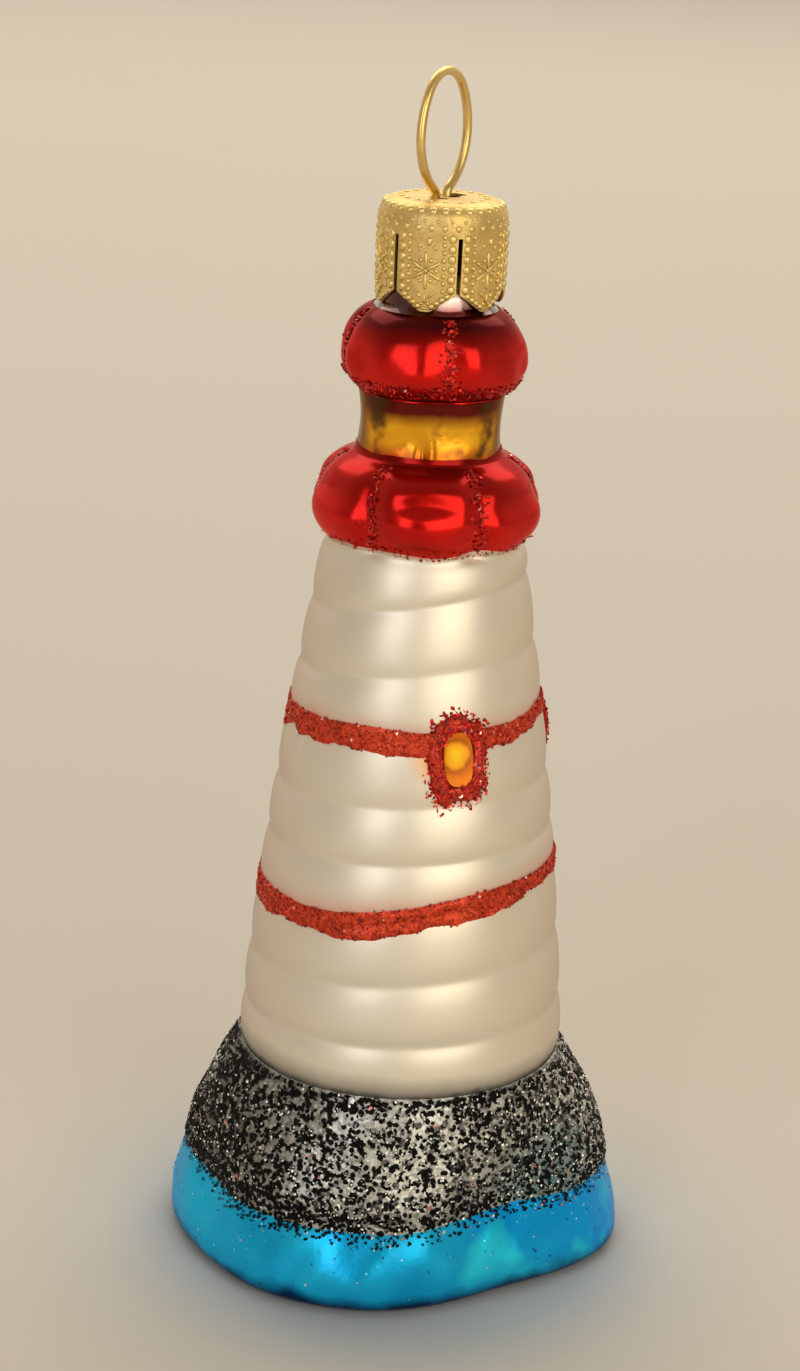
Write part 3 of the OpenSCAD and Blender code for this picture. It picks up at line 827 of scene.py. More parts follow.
def amber_material(name, red_below=0.0, red_above=0.0):
    """Amber lacquer; red airbrush creeps over it from below and from above. Its silhouettes and
    four corners are darkened: painted dark reflection.
    """
    c = colours()
    mat, tree, shader, vec, colour = lacquer_over_silver(
        name, tuple(c.amber_deep), tuple(c.amber_thin), 0.24, drift_scale=330.0, bump=0.6,
        metallic=0.8, coat=0.12, rim=(1.0, 0.7, 0.45))
    if red_above:
        low_fade = use_group(tree, "height_band", vec, From=(red_below + 0.2) * MM,
                             To=(red_below + 2.1) * MM, Wander=2.0 * MM)
        colour = mix_colours(tree, low_fade.outputs["Share"], (0.55, 0.02, 0.005), colour)
        high_fade = use_group(tree, "height_band", vec, From=(red_above - 2.4) * MM,
                              To=(red_above - 0.9) * MM, Wander=1.2 * MM)
        colour = mix_colours(tree, high_fade.outputs["Share"], colour, (0.13, 0.004, 0.002))
        # Dark brown at the lantern's silhouettes: painted dark reflection at the edges.
        edge = facing_edge(tree, 0.5)
        rim = ramp_node(tree, edge, [(0.42, (0, 0, 0)), (0.72, (1, 1, 1))])
        colour = mix_colours(tree, rim, colour, (0.10, 0.035, 0.012))
        # Dark strips down the lantern's four corners, wavering in width: painted dark reflection
        # and shade at the corners.
        split = tree.nodes.new("ShaderNodeSeparateXYZ")
        tree.links.new(vec, split.inputs["Vector"])
        back = math_node(tree, "MULTIPLY", split.outputs["Y"], -1.0)
        turn = math_node(tree, "ARCTAN2", split.outputs["X"], back)
        turn = math_node(tree, "SUBTRACT", turn, math.radians(LANTERN_CORNER_AZ))
        corner = math_node(tree, "COSINE", math_node(tree, "MULTIPLY", turn, 4.0))
        # Brown blotches at random places over the amber.
        brown_blotch = ramp_node(tree, noise_node(tree, vec, 420.0, 2.0),
                           [(0.56, (0, 0, 0)), (0.72, (0.8, 0.8, 0.8))])
        colour = mix_colours(tree, brown_blotch, colour, (0.30, 0.07, 0.01))
        wobble = noise_node(tree, vec, 380.0, 2.0)
        wobble = math_node(tree, "MULTIPLY", math_node(tree, "SUBTRACT", wobble, 0.5), 0.9)
        corner = math_node(tree, "ADD", corner, wobble)
        painted_dark_corner = ramp_node(tree, corner, [(0.82, (0, 0, 0)), (0.98, (0.9, 0.9, 0.9))])
        colour = mix_colours(tree, painted_dark_corner, colour, (0.085, 0.03, 0.01))
        tree.links.new(colour, shader.inputs["Base Color"])
    return mat


def pane_material(side, az):
    """A pane's amber, yellow in the middle and orange towards its edges."""
    mat, tree, shader, vec = new_material(
        "pane_amber_" + side, Metallic=0.25, Roughness=0.5, Specular_IOR_Level=0.25)
    off = vector_node(tree, "DISTANCE", vec,
                      on_body(float(taper(PANE_Z)), PANE_Z + 0.2, az - 1.0))
    ragged = math_node(tree, "MULTIPLY", noise_node(tree, vec, 900.0), 0.8 * MM)
    far = math_node(tree, "DIVIDE", math_node(tree, "ADD", off, ragged), 2.9 * MM)
    colour = ramp_node(tree, far, [
        (0.34, (1.0, 0.62, 0.012)), (0.56, (1.0, 0.40, 0.010)), (0.70, (0.55, 0.13, 0.006)),
        (1.0, (0.95, 0.26, 0.01))])
    tree.links.new(colour, shader.inputs["Base Color"])
    return mat


def rock_base_material():
    """The silver bed between the flakes, tinted by the sea near the shore."""
    mat, tree, shader, vec = new_material("rock_bed", Metallic=0.7, Roughness=0.4,
                                          Coat_Weight=0.3, Coat_Roughness=0.2)
    shade_of, height = random_cells(tree, vec, 2600.0)
    colour = ramp_node(tree, shade_of, [
        (0.0, (0.18, 0.18, 0.16)), (0.3, (0.36, 0.36, 0.33)), (1.0, (0.66, 0.65, 0.60))])
    washed = nearness(tree, vec, on_body(SHORE_R, SHORE_Z + 0.5, 32.0), 9.5 * MM)
    colour = mix_colours(tree, washed, colour, (0.01, 0.20, 0.26))
    dense = distance_share(tree, vec, on_body(SHORE_R, SHORE_Z + 4.0, -92.0), 20 * MM)
    shade = ramp_node(tree, dense, [(0.25, (0.85, 0.85, 0.85)), (0.85, (0, 0, 0))])
    colour = mix_colours(tree, shade, colour, (0.03, 0.03, 0.028))
    tree.links.new(colour, shader.inputs["Base Color"])
    add_bump(tree, shader, height, 0.5, 0.00015)
    return mat


def gold_material(name, roughness, stamped, bright=1.0):
    c = colours()
    mat, tree, shader, vec = new_material(name, Metallic=1.0)
    film = use_group(tree, "uneven_lacquer", vec, Drift_Scale=400.0, Peel_Scale=3000.0)
    # A bright above 1 lifts the gold's colour: a painted highlight.
    gold = tuple(min(1.0, v * bright) for v in c.gold)
    dull = (gold[0] * 0.66, gold[1] * 0.61, gold[2] * 0.55)
    tree.links.new(mix_colours(tree, film.outputs["Drift"], dull, gold),
                   shader.inputs["Base Color"])
    rough = scaled(tree, film.outputs["Drift"], 0.25, roughness)
    tree.links.new(rough, shader.inputs["Roughness"])
    add_bump(tree, shader, film.outputs["Height"], 0.9 if stamped else 0.12, 0.00014)
    return mat


def bare_glass_material():
    """Bare silvered glass, seen between the cap's tongues; away from one slit it turns near-black
    red, partly red lacquer sprayed on the neck, partly painted shade under the tongues.
    """
    mat, tree, shader, vec = new_material(
        "silvered_glass", Metallic=0.9, Coat_Weight=1.0, Coat_Roughness=0.02)
    film = use_group(tree, "uneven_lacquer", vec, Drift_Scale=300.0)
    blush = use_group(tree, "height_band", vec, From=(ROOF_HIGH_Z + 0.4) * MM,
                      To=(ROOF_HIGH_Z + 1.9) * MM, Wander=1.4 * MM)
    colour = mix_colours(tree, blush.outputs["Share"], (0.20, 0.003, 0.003),
                         (0.80, 0.66, 0.62))
    # Near-black red away from one slit: red lacquer on the neck, darkened as painted shade under
    # the tongues.
    bare = on_body(NECK_R, ROOF_HIGH_Z + 1.6, SLIT_AZ + 1.0)
    sprayed_and_shaded = ramp_node(tree, distance_share(tree, vec, bare, 4 * MM),
                        [(0.4, (0, 0, 0)), (0.62, (1, 1, 1))])
    colour = mix_colours(tree, sprayed_and_shaded, colour, (0.075, 0.002, 0.002))
    tree.links.new(colour, shader.inputs["Base Color"])
    rough = scaled(tree, film.outputs["Drift"], 0.15, 0.12)
    tree.links.new(rough, shader.inputs["Roughness"])
    return mat


# ---------------------------------------------------------------------------
# Pieces.
# ---------------------------------------------------------------------------
def band_half(k, a):
    width = {LOWER_GROOVE: 2.0, UPPER_GROOVE: 1.8}[k]
    return width / 2 * (1 + 0.10 * sind(3 * a + 40 * k) + 0.08 * sind(7 * a)
                        + 0.28 * cosd(a + 49))


def band_edge(k, u, a):
    """Height of a band's line at u from -1, its lower edge, to 1, its upper one."""
    ripple = (0.11 * sind(7 * a + 70 * k) + 0.08 * sind(12 * a + 5) * sind(5 * a)
              + 0.07 * sind(23 * a + 40 * sind(3 * a)) + 0.04 * sind(47 * a + 25))
    blob = 0.7 * bell(wrap(a + 102), 5) * (k == UPPER_GROOVE)
    lower = np.clip(-u, 0, 1)
    return (groove_at(k, a) + u * band_half(k, a) + ripple * (0.4 + lower)
            - blob * (0.3 + lower))


def sea_ring(t, out):
    return lambda a: (base_radius(t * shore_at(a), a) + out, t * shore_at(a))


def rock_ring(t, out):
    def ring(a):
        z = mix(shore_at(a), groove_at(0, a), t)
        r = np.where(t >= 1, FOOT_R, base_radius(np.minimum(z, FOOT_Z), a))
        return r + out, z
    return ring


def tower_ring(k, t, out):
    def ring(a):
        z = mix(groove_at(k, a), groove_at(k + 1, a), t)
        return tower_radius(z, a) + out, z
    return ring


def coat_ring(point, s):
    """One ring of a lacquer coat, outside the glass by the lacquer's thickness."""
    def ring(a):
        r, z = point(np.full_like(a, float(s)), a)
        return r + LACQUER, z
    return ring


def build_glass():
    rings = [sea_ring(t, 0) for t in (0.0, 0.04, 0.1, 0.16, 0.4, 0.7, 1.0)]
    rings += [rock_ring(t, 0) for t in (0.25, 0.5, 0.75, 1.0)]
    rings += [tower_ring(k, t, 0) for k in range(len(COURSE_SHARE)) for t in (0.3, 0.7, 1.0)][:-1]
    rings += [(lambda a, s=s: gallery_point(np.full_like(a, s), a))
              for s in (-62.0, -30.0, 0.0, 30.0, 60.0, 82.0)]
    rings += [(lambda a, t=t: lantern_point(t, a)) for t in (0.15, 0.5, 0.85)]
    rings += [(lambda a, s=s: roof_point(np.full_like(a, s), a))
              for s in (-75.0, -45.0, -10.0, 25.0, 55.0, 78.0)]
    rings += [(lambda a, t=t: neck_point(t, a)) for t in (0.06, 0.2, 0.5, 1.0)]
    obj = lathe("blown_glass", rings, 0, columns=96, smooth_levels=0)
    fill_rim(obj, lambda v: v.z < 1e-7)
    apply_modifier(obj, "SOLIDIFY", thickness=GLASS_WALL * MM, offset=-1.0)
    smooth(obj, 40)
    finish_piece(obj, "silvered_glass", [bare_glass_material()], "glass_shell")


def build_sea():
    steps = (0.04, 0.08, 0.12, 0.17, 0.25, 0.36, 0.5, 0.64, 0.78, 0.9, 1.0)
    obj = lathe("sea_coat", [sea_ring(t, LACQUER) for t in steps], COAT_SKIN)
    finish_piece(obj, "blue_lacquer", [sea_material()], "sea_lacquer")
    sea_strays()


def build_rock():
    s = sizes()
    steps = (-0.03, 0.0, 0.03, 0.06, 0.1, 0.15, 0.21, 0.28, 0.36, 0.46, 0.58, 0.7, 0.8, 0.9,
             1.0)
    bed = lathe("rock_bed", [rock_ring(t, 0.3) for t in steps], 0.25)
    finish_piece(bed, "black_silver_glitter", [rock_base_material()], "rock_glitter")

    rng = np.random.default_rng(11)
    n = s.flake_count
    t = rng.uniform(-0.05, 1.0, n * 2)
    a = rng.random(n * 2) * 360 - 180
    keep = rng.random(n * 2) < (base_radius(mix(SHORE_Z, FOOT_Z, t), a) / SHORE_R)
    t, a = t[keep][:n], a[keep][:n]
    ragged = rng.random(len(t))
    t = np.where(ragged < 0.06, -0.05 - 0.09 * rng.random(len(t)) ** 1.5, t)

    def point(tt, aa):
        z = mix(shore_at(aa), groove_at(0, aa), tt)
        return on_body(base_radius(np.minimum(z, FOOT_Z), aa) + 0.36, z, aa)

    places = point(t, a)
    normals = surface_normals(point, t, a)
    clump = np.sin(np.radians(a * 12 + 170 * t)) * np.sin(np.radians(a * 5 - 290 * t + 60))
    edge = np.clip(np.abs(t - 0.5) * 2 - 0.6, 0, 0.4) + 0.4 * bell(wrap(a + 85), 30)
    pick = rng.random(len(t))
    black = 0.62 + 0.12 * clump + 0.7 * edge
    kinds = np.where(pick < black, 0, np.where(pick < black + 0.10, 1,
                     np.where(pick < black + 0.24, 2, 3)))
    kinds = np.where((rng.random(len(t)) < 0.10) & (kinds == 0), 2, kinds)
    kinds = np.where(rng.random(len(t)) < 0.003, 4, kinds)
    sizes_of = s.flake_size * (0.6 + 0.7 * rng.random(len(t)))
    sizes_of = np.where(kinds == 2, sizes_of * 0.42, sizes_of) * np.where(t < -0.02, 0.62, 1)
    proud = normals / np.linalg.norm(normals, axis=1, keepdims=True)
    places = places + proud * (np.where(kinds == 2, 0.10, 0.0) * MM)[:, None]
    axes = leaning_axes(normals, sizes_of, rng, np.where(kinds == 2, 30, 9)[:, None], 0.5)
    flakes = scatter("rock_flakes", moulded_grain("flake", 5, 0.35), places, axes, kinds)
    mats = [
        glitter_material("flake_black", (0.001, 0.001, 0.001), (0.008, 0.008, 0.007), 0.0,
                         0.55, gloss=0.07),
        glitter_material("flake_silver", (0.26, 0.255, 0.235), (0.50, 0.49, 0.45), 1.0, 0.3),
        glitter_material("flake_bright", (0.95, 0.93, 0.84), (1.0, 0.98, 0.93), 0.15, 0.3),
        glitter_material("flake_grey", (0.05, 0.05, 0.048), (0.16, 0.16, 0.15), 0.9, 0.35),
        glitter_material("flake_pink", (0.65, 0.16, 0.18), (0.8, 0.4, 0.38), 0.9, 0.3),
    ]
    finish_piece(flakes, "black_silver_glitter", mats)


def sea_strays():
    """Stray grains of the rock's glitter, caught in the sea's lacquer."""
    rng = np.random.default_rng(17)
    n = 420
    t = 1 - np.abs(rng.normal(0, 0.42, n))
    a = rng.uniform(-180, 180, n)
    t, a = t[t > 0.12], a[t > 0.12]

    def point(tt, aa):
        z = tt * shore_at(aa)
        return on_body(base_radius(z, aa) + LACQUER + 0.02, z, aa)

    kinds = rng.choice(3, len(t), p=(0.35, 0.35, 0.30))
    axes = leaning_axes(surface_normals(point, t, a),
                        0.11 * MM * (0.6 + 0.9 * rng.random(len(t))), rng, 20, 0.6)
    obj = scatter("sea_strays", moulded_grain("flake", 5, 0.6), point(t, a), axes, kinds)
    mats = [glitter_material("stray_navy", (0.0, 0.02, 0.10), (0.0, 0.06, 0.2), 0.3, 0.4),
            glitter_material("stray_silver", (0.5, 0.6, 0.62), (0.7, 0.78, 0.8), 1.0, 0.3),
            glitter_material("stray_cyan", (0.02, 0.5, 0.7), (0.2, 0.75, 0.9), 0.6, 0.3)]
    finish_piece(obj, "blue_lacquer", mats)


def build_tower():
    marks = (0.03, 0.13, 0.3, 0.5, 0.7, 0.87, 0.97)
    rings = [tower_ring(0, 0.0, LACQUER)]
    for k in range(len(COURSE_SHARE)):
        rings += [tower_ring(k, t, LACQUER) for t in marks]

    def lap(step):
        """White lacquer that runs a little way up the gallery's underside."""
        def ring(a):
            edge = -44 + 4 * sind(5 * a + 30) + 3 * sind(8 * a)
            r, z = gallery_point(mix(-52.0, edge, step), a)
            return r + LACQUER + 0.06, z
        return ring

    rings += [lap(0.0), lap(0.5), lap(1.0)]
    obj = lathe("tower_coat", rings, COAT_SKIN, columns=160)
    finish_piece(obj, "pearl_white_lacquer", [pearl_material()], "tower_lacquer")


def build_band(k, name, node, seed, grains):
    s = sizes()
    steps = np.linspace(-1, 1, 7)

    def lift(u, z, a):
        """The bead's height over the lacquer: round, and gone behind the panes."""
        rise = 0.30 * np.sqrt(np.maximum(1.02 - u * u, 0)) * (1 + 0.2 * sind(23 * a))
        return rise - behind_pane(z, a) * 0.6

    def ring(u):
        def at(a):
            z = band_edge(k, u, a)
            return tower_radius(z, a) + LACQUER + lift(u, z, a), z
        return at

    bead = lathe(name + "_bead", [ring(u) for u in steps], 0.2, smooth_levels=0)
    mats = [glitter_material("band_grain_" + node, tuple(colours().band_red),
                             tuple(min(1, v * 1.5 + 0.01) for v in colours().band_red),
                             0.55, 0.4),
            glitter_material("band_dark_" + node, (0.22, 0.01, 0.008), (0.4, 0.02, 0.01),
                             0.5, 0.4),
            glitter_material("band_spark_" + node, (0.95, 0.45, 0.35), (1, 0.8, 0.7),
                             1.0, 0.2)]
    finish_piece(bead, "orange_red_glitter", [mats[0]], node)
    rng = np.random.default_rng(seed)
    a = rng.random(grains) * 360 - 180
    u = np.clip(rng.normal(0, 0.5, grains), -1.08, 1.08)
    u = np.where(rng.random(grains) < 0.8, rng.uniform(-1.0, 1.0, grains), u)
    seen = behind_pane(band_edge(k, u, a), a) < 0.3
    a, u = a[seen], u[seen]
    grains = len(a)

    def point(uu, aa):
        z = band_edge(k, uu, aa)
        return on_body(tower_radius(z, aa) + LACQUER + lift(uu, z, aa) + 0.03, z, aa)

    pick = rng.random(grains)
    edge = np.abs(u) > 0.85
    kinds = np.where(pick < 0.008, 2, np.where(edge & (pick < 0.6), 1,
                     np.where(pick < 0.2, 1, 0)))
    axes = leaning_axes(surface_normals(point, u, a),
                        s.grain_size * (0.7 + 0.6 * rng.random(grains)), rng, 26, 0.6)
    obj = scatter(name + "_grains", moulded_grain("grain", 5, 0.8), point(u, a), axes,
                  kinds)
    finish_piece(obj, "orange_red_glitter", mats)


def behind_pane(z, a):
    """1 where a window's pane is, fading to 0 outside it."""
    total = np.zeros(np.broadcast(z, a).shape)
    for az in WINDOW_AZS.values():
        u = np.radians(wrap(a - az)) * taper(z)
        d = np.sqrt((u / 2.1) ** 2 + ((z - PANE_Z) / 2.7) ** 2)
        total = total + np.clip((1.15 - d) / 0.3, 0, 1)
    return total


def build_window(side, seed):
    s = sizes()
    a0 = WINDOW_AZS[side]
    frame_w, frame_h, bar = 6.4, 8.7, 1.9
    pane_w, pane_h = frame_w - 2 * bar, frame_h - 2 * bar

    deselect_all()
    bpy.ops.mesh.primitive_circle_add(vertices=48, radius=1.0, fill_type="NGON")
    pane = rename(bpy.context.object, side + "_pane")
    edit_all()
    for _ in range(5):
        bpy.ops.mesh.inset(thickness=0.16, depth=0)
    bpy.ops.mesh.poke()
    bpy.ops.object.mode_set(mode="OBJECT")
    co = coords(pane)
    radius = np.hypot(co[:, 0], co[:, 1])
    angle = np.arctan2(co[:, 1], co[:, 0])
    grow = 1.06
    c, sn = np.cos(angle), np.sin(angle)
    u = grow * pane_w / 2 * radius * np.sign(c) * np.abs(c) ** 0.75
    v = grow * pane_h / 2 * radius * np.sign(sn) * np.abs(sn) ** 0.75
    z = WINDOW_Z + v
    az = a0 + np.degrees(u / taper(z))
    dent = 0.10 * bell(u + 0.4, 0.5) * bell(v - 0.3, 1.0)
    proud = 0.26 + 0.03 * sind(160 * v) - dent
    co = on_body(tower_radius(z, az) + LACQUER + proud, z, az)
    set_coords(pane, co)
    face_outwards(pane, (0, 0))
    apply_modifier(pane, "SOLIDIFY", thickness=0.15 * MM, offset=-1.0)
    smooth(pane, 50)
    finish_piece(pane, "amber_lacquer", [pane_material(side, a0)], side + "_window_pane")

    def rim(t, across, proud):
        """A point of the frame's bead: t runs round it, across from pane to outside."""
        ragged = 1 + 0.05 * np.sin(5 * t + seed) + 0.04 * np.sin(9 * t)
        c, sn = np.cos(t), np.sin(t)
        w = mix(pane_w + 0.1, frame_w - 0.55, across) * ragged
        h = mix(pane_h + 0.1, frame_h - 0.55, across) * ragged
        u = w / 2 * np.sign(c) * np.abs(c) ** 0.75
        v = h / 2 * np.sign(sn) * np.abs(sn) ** 0.75
        v = v - 0.5 * across * np.maximum(-sn, 0) * (1 - 0.5 * c)
        z = WINDOW_Z + v
        az = a0 + np.degrees(u / taper(z))
        lift = 0.42 * np.sin(np.pi * np.clip(across, 0, 1)) ** 0.7 + proud
        return on_body(tower_radius(z, az) + LACQUER + lift, z, az)

    ring = turned_ring(side + "_frame_bead", 7, 96)
    co = coords(ring)
    t = np.arctan2(co[:, 1], co[:, 0])
    set_coords(ring, rim(t, np.rint(co[:, 2]) / 6, 0.02))
    recalculate(ring)
    middle = Vector(rim(np.array([0.3]), np.array([0.5]), 0.0)[0])
    nearest = min(ring.data.polygons, key=lambda f: (f.center - middle).length)
    if nearest.normal.dot(Vector((sind(a0), -cosd(a0), 0))) < 0:
        ring.data.flip_normals()
    apply_modifier(ring, "SOLIDIFY", thickness=0.12 * MM, offset=-1.0)
    activate(ring)
    bpy.ops.object.shade_smooth()
    coarse = coarse_glitter(side)
    under = glitter_material("frame_bed_" + side, (0.62, 0.055, 0.012), (0.42, 0.02, 0.01),
                             0.5, 0.35)
    finish_piece(ring, "crimson_glitter", [under], side + "_window_frame")

    rng = np.random.default_rng(seed)
    n = 760
    t = rng.random(n) * 2 * math.pi
    across = np.where(rng.random(n) < 0.26, 1 + 0.42 * rng.random(n) ** 1.4,
                      rng.uniform(-0.06, 1.02, n))
    places = rim(t, across, 0.03)
    normals = np.tile(np.array([float(sind(a0)), float(-cosd(a0)), 0.12]), (n, 1))
    pick = rng.random(n)
    kinds = np.where(pick < 0.02, 2, np.where(pick < 0.5, 1, 0))
    axes = leaning_axes(normals, s.coarse_grain_size * (0.7 + 0.6 * rng.random(n)), rng, 32,
                        0.6)
    grains = scatter(side + "_window_grains", moulded_grain("grain", 6, 0.9), places, axes,
                     kinds)
    finish_piece(grains, "crimson_glitter", coarse)


def coarse_glitter(tag):
    red = tuple(colours().frame_red)
    return [
        glitter_material("coarse_red_" + tag, red, tuple(min(1, v * 1.8) for v in red), 0.7, 0.3),
        glitter_material("coarse_dark_" + tag, (0.14, 0.003, 0.006), red, 0.6, 0.35),
        glitter_material("coarse_spark_" + tag, (0.95, 0.35, 0.3), (1.0, 0.7, 0.6), 1.0, 0.2),
    ]


def line_grains(name, node_names, point, s_range, a_range, n, seed, mats, size=1.0):
    """Coarse glitter laid along a line on a cushion."""
    rng = np.random.default_rng(seed)
    s = rng.uniform(*s_range, n)
    a = rng.normal(0, 1, n) * (a_range[1] - a_range[0]) / 4 + sum(a_range) / 2
    if a_range[1] - a_range[0] >= 360:
        a = rng.uniform(-180, 180, n)

    def at(ss, aa):
        r, z = point(ss, aa)
        return on_body(r + LACQUER + 0.06, z, aa)

    places = at(s, a)
    normals = surface_normals(at, s, a)
    unit = normals / np.linalg.norm(normals, axis=1, keepdims=True)
    places = places + unit * (rng.random(n) ** 2 * 0.15 * MM)[:, None]
    pick = rng.random(n)
    kinds = np.where(pick < 0.02, 2, np.where(pick < 0.45, 1, 0))
    axes = leaning_axes(normals, size * sizes().coarse_grain_size
                        * (0.65 + 0.6 * rng.random(n)), rng, 26, 0.6)
    obj = scatter(name, moulded_grain("grain", 6, 0.8), places, axes, kinds)
    finish_piece(obj, "crimson_glitter", mats, *node_names)


def build_gallery():
    angles = (-62, -54, -46, -38, -30, -22, -14, -6, 0, 5, 10, 15, 20, 25, 30, 36, 42, 48,
              56, 64, 72)
    rings = [coat_ring(gallery_point, s) for s in angles]
    rings += [(lambda a, r=r, up=up: (np.full_like(a, LANTERN_R + LACQUER + r),
                                      GALLERY_HIGH_Z + up + 0 * a))
              for r, up in ((0.22, 0.12), (0.1, 0.4), (0.03, 0.8))]
    obj = lathe("gallery_coat", rings, COAT_SKIN)
    finish_piece(obj, "red_lacquer",
                 [red_material("gallery_red", GALLERY_HIGH_Z - 4.0, GALLERY_HIGH_Z + 3.0)],
                 "gallery_lacquer")
    mats = coarse_glitter("gallery")
    line_grains("gallery_rim_grains", ["gallery_rim_glitter"], gallery_point,
                (-62, -34), (-180, 180), 520, 21, mats, 0.8)
    for n in range(GALLERY_LOBES):
        az = GALLERY_RIB_AZ + 360 / GALLERY_LOBES * n
        line_grains(f"gallery_rib_grains_{n + 1}", [f"gallery_rib_{n + 1}"],
                    gallery_point, (-40, 74), (az - 4.5, az + 4.5), 120, 30 + n, mats, 0.85)


def build_lantern():
    rings = [coat_ring(lantern_point, t) for t in np.linspace(0, 1, 13)]
    obj = lathe("lantern_coat", rings, COAT_SKIN)
    finish_piece(obj, "amber_lacquer",
                 [amber_material("lantern_amber", GALLERY_HIGH_Z, ROOF_LOW_Z)],
                 "lantern_lacquer")


def build_roof():
    angles = (-75, -66, -56, -46, -36, -26, -16, -6, 4, 14, 24, 34, 44, 54, 64, 72, 78)
    rings = [coat_ring(roof_point, s) for s in angles]
    obj = lathe("roof_coat", rings, COAT_SKIN)
    finish_piece(obj, "red_lacquer",
                 [red_material("roof_red", ROOF_HIGH_Z - 3.4, ROOF_HIGH_Z - 0.9)],
                 "roof_lacquer")
    mats = coarse_glitter("roof")
    line_grains("eave_grains", ["eave_glitter"], roof_point, (-52, -26), (-180, 180),
                1300, 51, mats, 0.8)
    for n in range(ROOF_LOBES):
        az = ROOF_RIB_AZ + 360 / ROOF_LOBES * n
        line_grains(f"roof_rib_grains_{n + 1}", [f"roof_rib_{n + 1}"], roof_point,
                    (-25, 66), (az - 6, az + 6), 130, 60 + n, mats, 0.95)


def cap_centre():
    lo, hi = low("crown_cap"), high("crown_cap")
    return np.array([(lo.x + hi.x) / 2, (lo.y + hi.y) / 2])


def build_cap():
    """One stamped sheet: a rounded cup whose skirt is slit into pointed tongues."""
    lo, hi = low("crown_cap"), high("crown_cap")
    cap_r = (hi.x - lo.x) / 2 - 0.12
    centre = cap_centre()
    shoulder = 1.7
    slit_z = CAP_TOP_Z - 3.1
    per = 24
    columns = TONGUES * per
    pitch = 360 / TONGUES
    slit_deg = math.degrees(0.42 / cap_r)
    skirt = [(1, t) for t in np.linspace(1, 0, 15)]
    rows = skirt + [(0, z) for z in np.linspace(slit_z, CAP_TOP_Z - shoulder, 5)[1:]]
    arc = [(2, t) for t in (20, 40, 60, 78)]
    flat = [(3, t) for t in (0.85, 0.62, 0.36, 0.14)]
    rows = rows + arc + flat
    obj = turned_ring("cap_sheet", len(rows), columns)
    co = coords(obj)
    level = np.rint(co[:, 2]).astype(int)
    turn = np.degrees(np.arctan2(co[:, 0], -co[:, 1]))
    index = np.rint(wrap(turn) / (360 / columns)).astype(int) % columns
    local = index % per
    tongue = index // per
    share = np.clip(local / (per - 1), 0, 1)
    phi = -pitch / 2 + slit_deg / 2 + share * (pitch - slit_deg)
    az = SLIT_AZ + pitch / 2 + tongue * pitch + phi
    edge = np.abs(phi) / (pitch / 2)
    tip = CAP_LOW_Z + TONGUE_TIP * np.clip((edge - 0.16) / 0.84, 0, 1)
    r = np.full(len(co), cap_r)
    z = np.zeros(len(co))
    for i, (kind, value) in enumerate(rows):
        p = level == i
        if kind == 1:
            z[p] = mix(slit_z, tip[p], value)
        elif kind == 0:
            z[p] = value
        elif kind == 2:
            r[p] = cap_r - shoulder * (1 - math.cos(math.radians(value)))
            z[p] = CAP_TOP_Z - shoulder * (1 - math.sin(math.radians(value)))
        else:
            r[p] = (cap_r - shoulder) * value
            z[p] = CAP_TOP_Z - 0.1 * (1 - value)
    on_skirt = z < slit_z + 0.3
    panel = -0.10 * np.clip((0.66 - edge) / 0.08, 0, 1)
    r = r + np.where(on_skirt, panel, 0)
    flare = np.clip((slit_z - z) / (slit_z - CAP_LOW_Z), 0, 1)
    r = r + np.where(on_skirt, -0.14 * flare ** 3, 0)
    pts = on_body(r, z, az)
    pts[:, 0] += centre[0] * MM
    pts[:, 1] += centre[1] * MM
    set_coords(obj, pts)
    bm = bmesh.new()
    bm.from_mesh(obj.data)
    bm.verts.ensure_lookup_table()
    cut = []
    for f in bm.faces:
        ids = [v.index for v in f.verts]
        ends = {local[i] for i in ids}
        if ends == {0, per - 1} and max(z[i] for i in ids) < slit_z + 0.05:
            cut.append(f)
        ring = {level[i] for i in ids}
        turns = [wrap(az[i] - LOOP_AZ) for i in ids]
        if ring == {len(rows) - 3, len(rows) - 2} and max(map(abs, turns)) < 26:
            cut.append(f)
        if ring == {len(rows) - 2, len(rows) - 1} and (
                max(map(abs, turns)) < 50 or min(map(abs, turns)) > 130):
            cut.append(f)
    bmesh.ops.delete(bm, geom=cut, context="FACES")
    bm.to_mesh(obj.data)
    bm.free()
    inner = (cap_r - shoulder) * 0.15 * MM
    fill_rim(obj, lambda v: v.z > (CAP_TOP_Z - CAP_SHEET) * MM and
             math.hypot(v.x - centre[0] * MM, v.y - centre[1] * MM) < inner)
    apply_modifier(obj, "SOLIDIFY", thickness=CAP_SHEET * MM, offset=-1.0)
    apply_modifier(obj, "BEVEL", width=0.05 * MM, segments=1, limit_method="ANGLE",
                   angle_limit=math.radians(50))
    smooth(obj, 35)
    obj.data.materials.append(gold_material("cap_gold", 0.34, True))
    relief = cap_relief(cap_r, centre, slit_z)
    relief.data.materials.append(obj.data.materials[0])
    # The raised marks take a brighter, glossier gold: the brighter colour is a painted highlight
    # on the relief.
    relief.data.materials.append(gold_material("cap_gold_raised_highlight", 0.26, False, 1.15))
    cap = join([obj, relief], "stamped_cap")
    finish_piece(cap, "gold_cap_metal", list(cap.data.materials), "crown_cap")


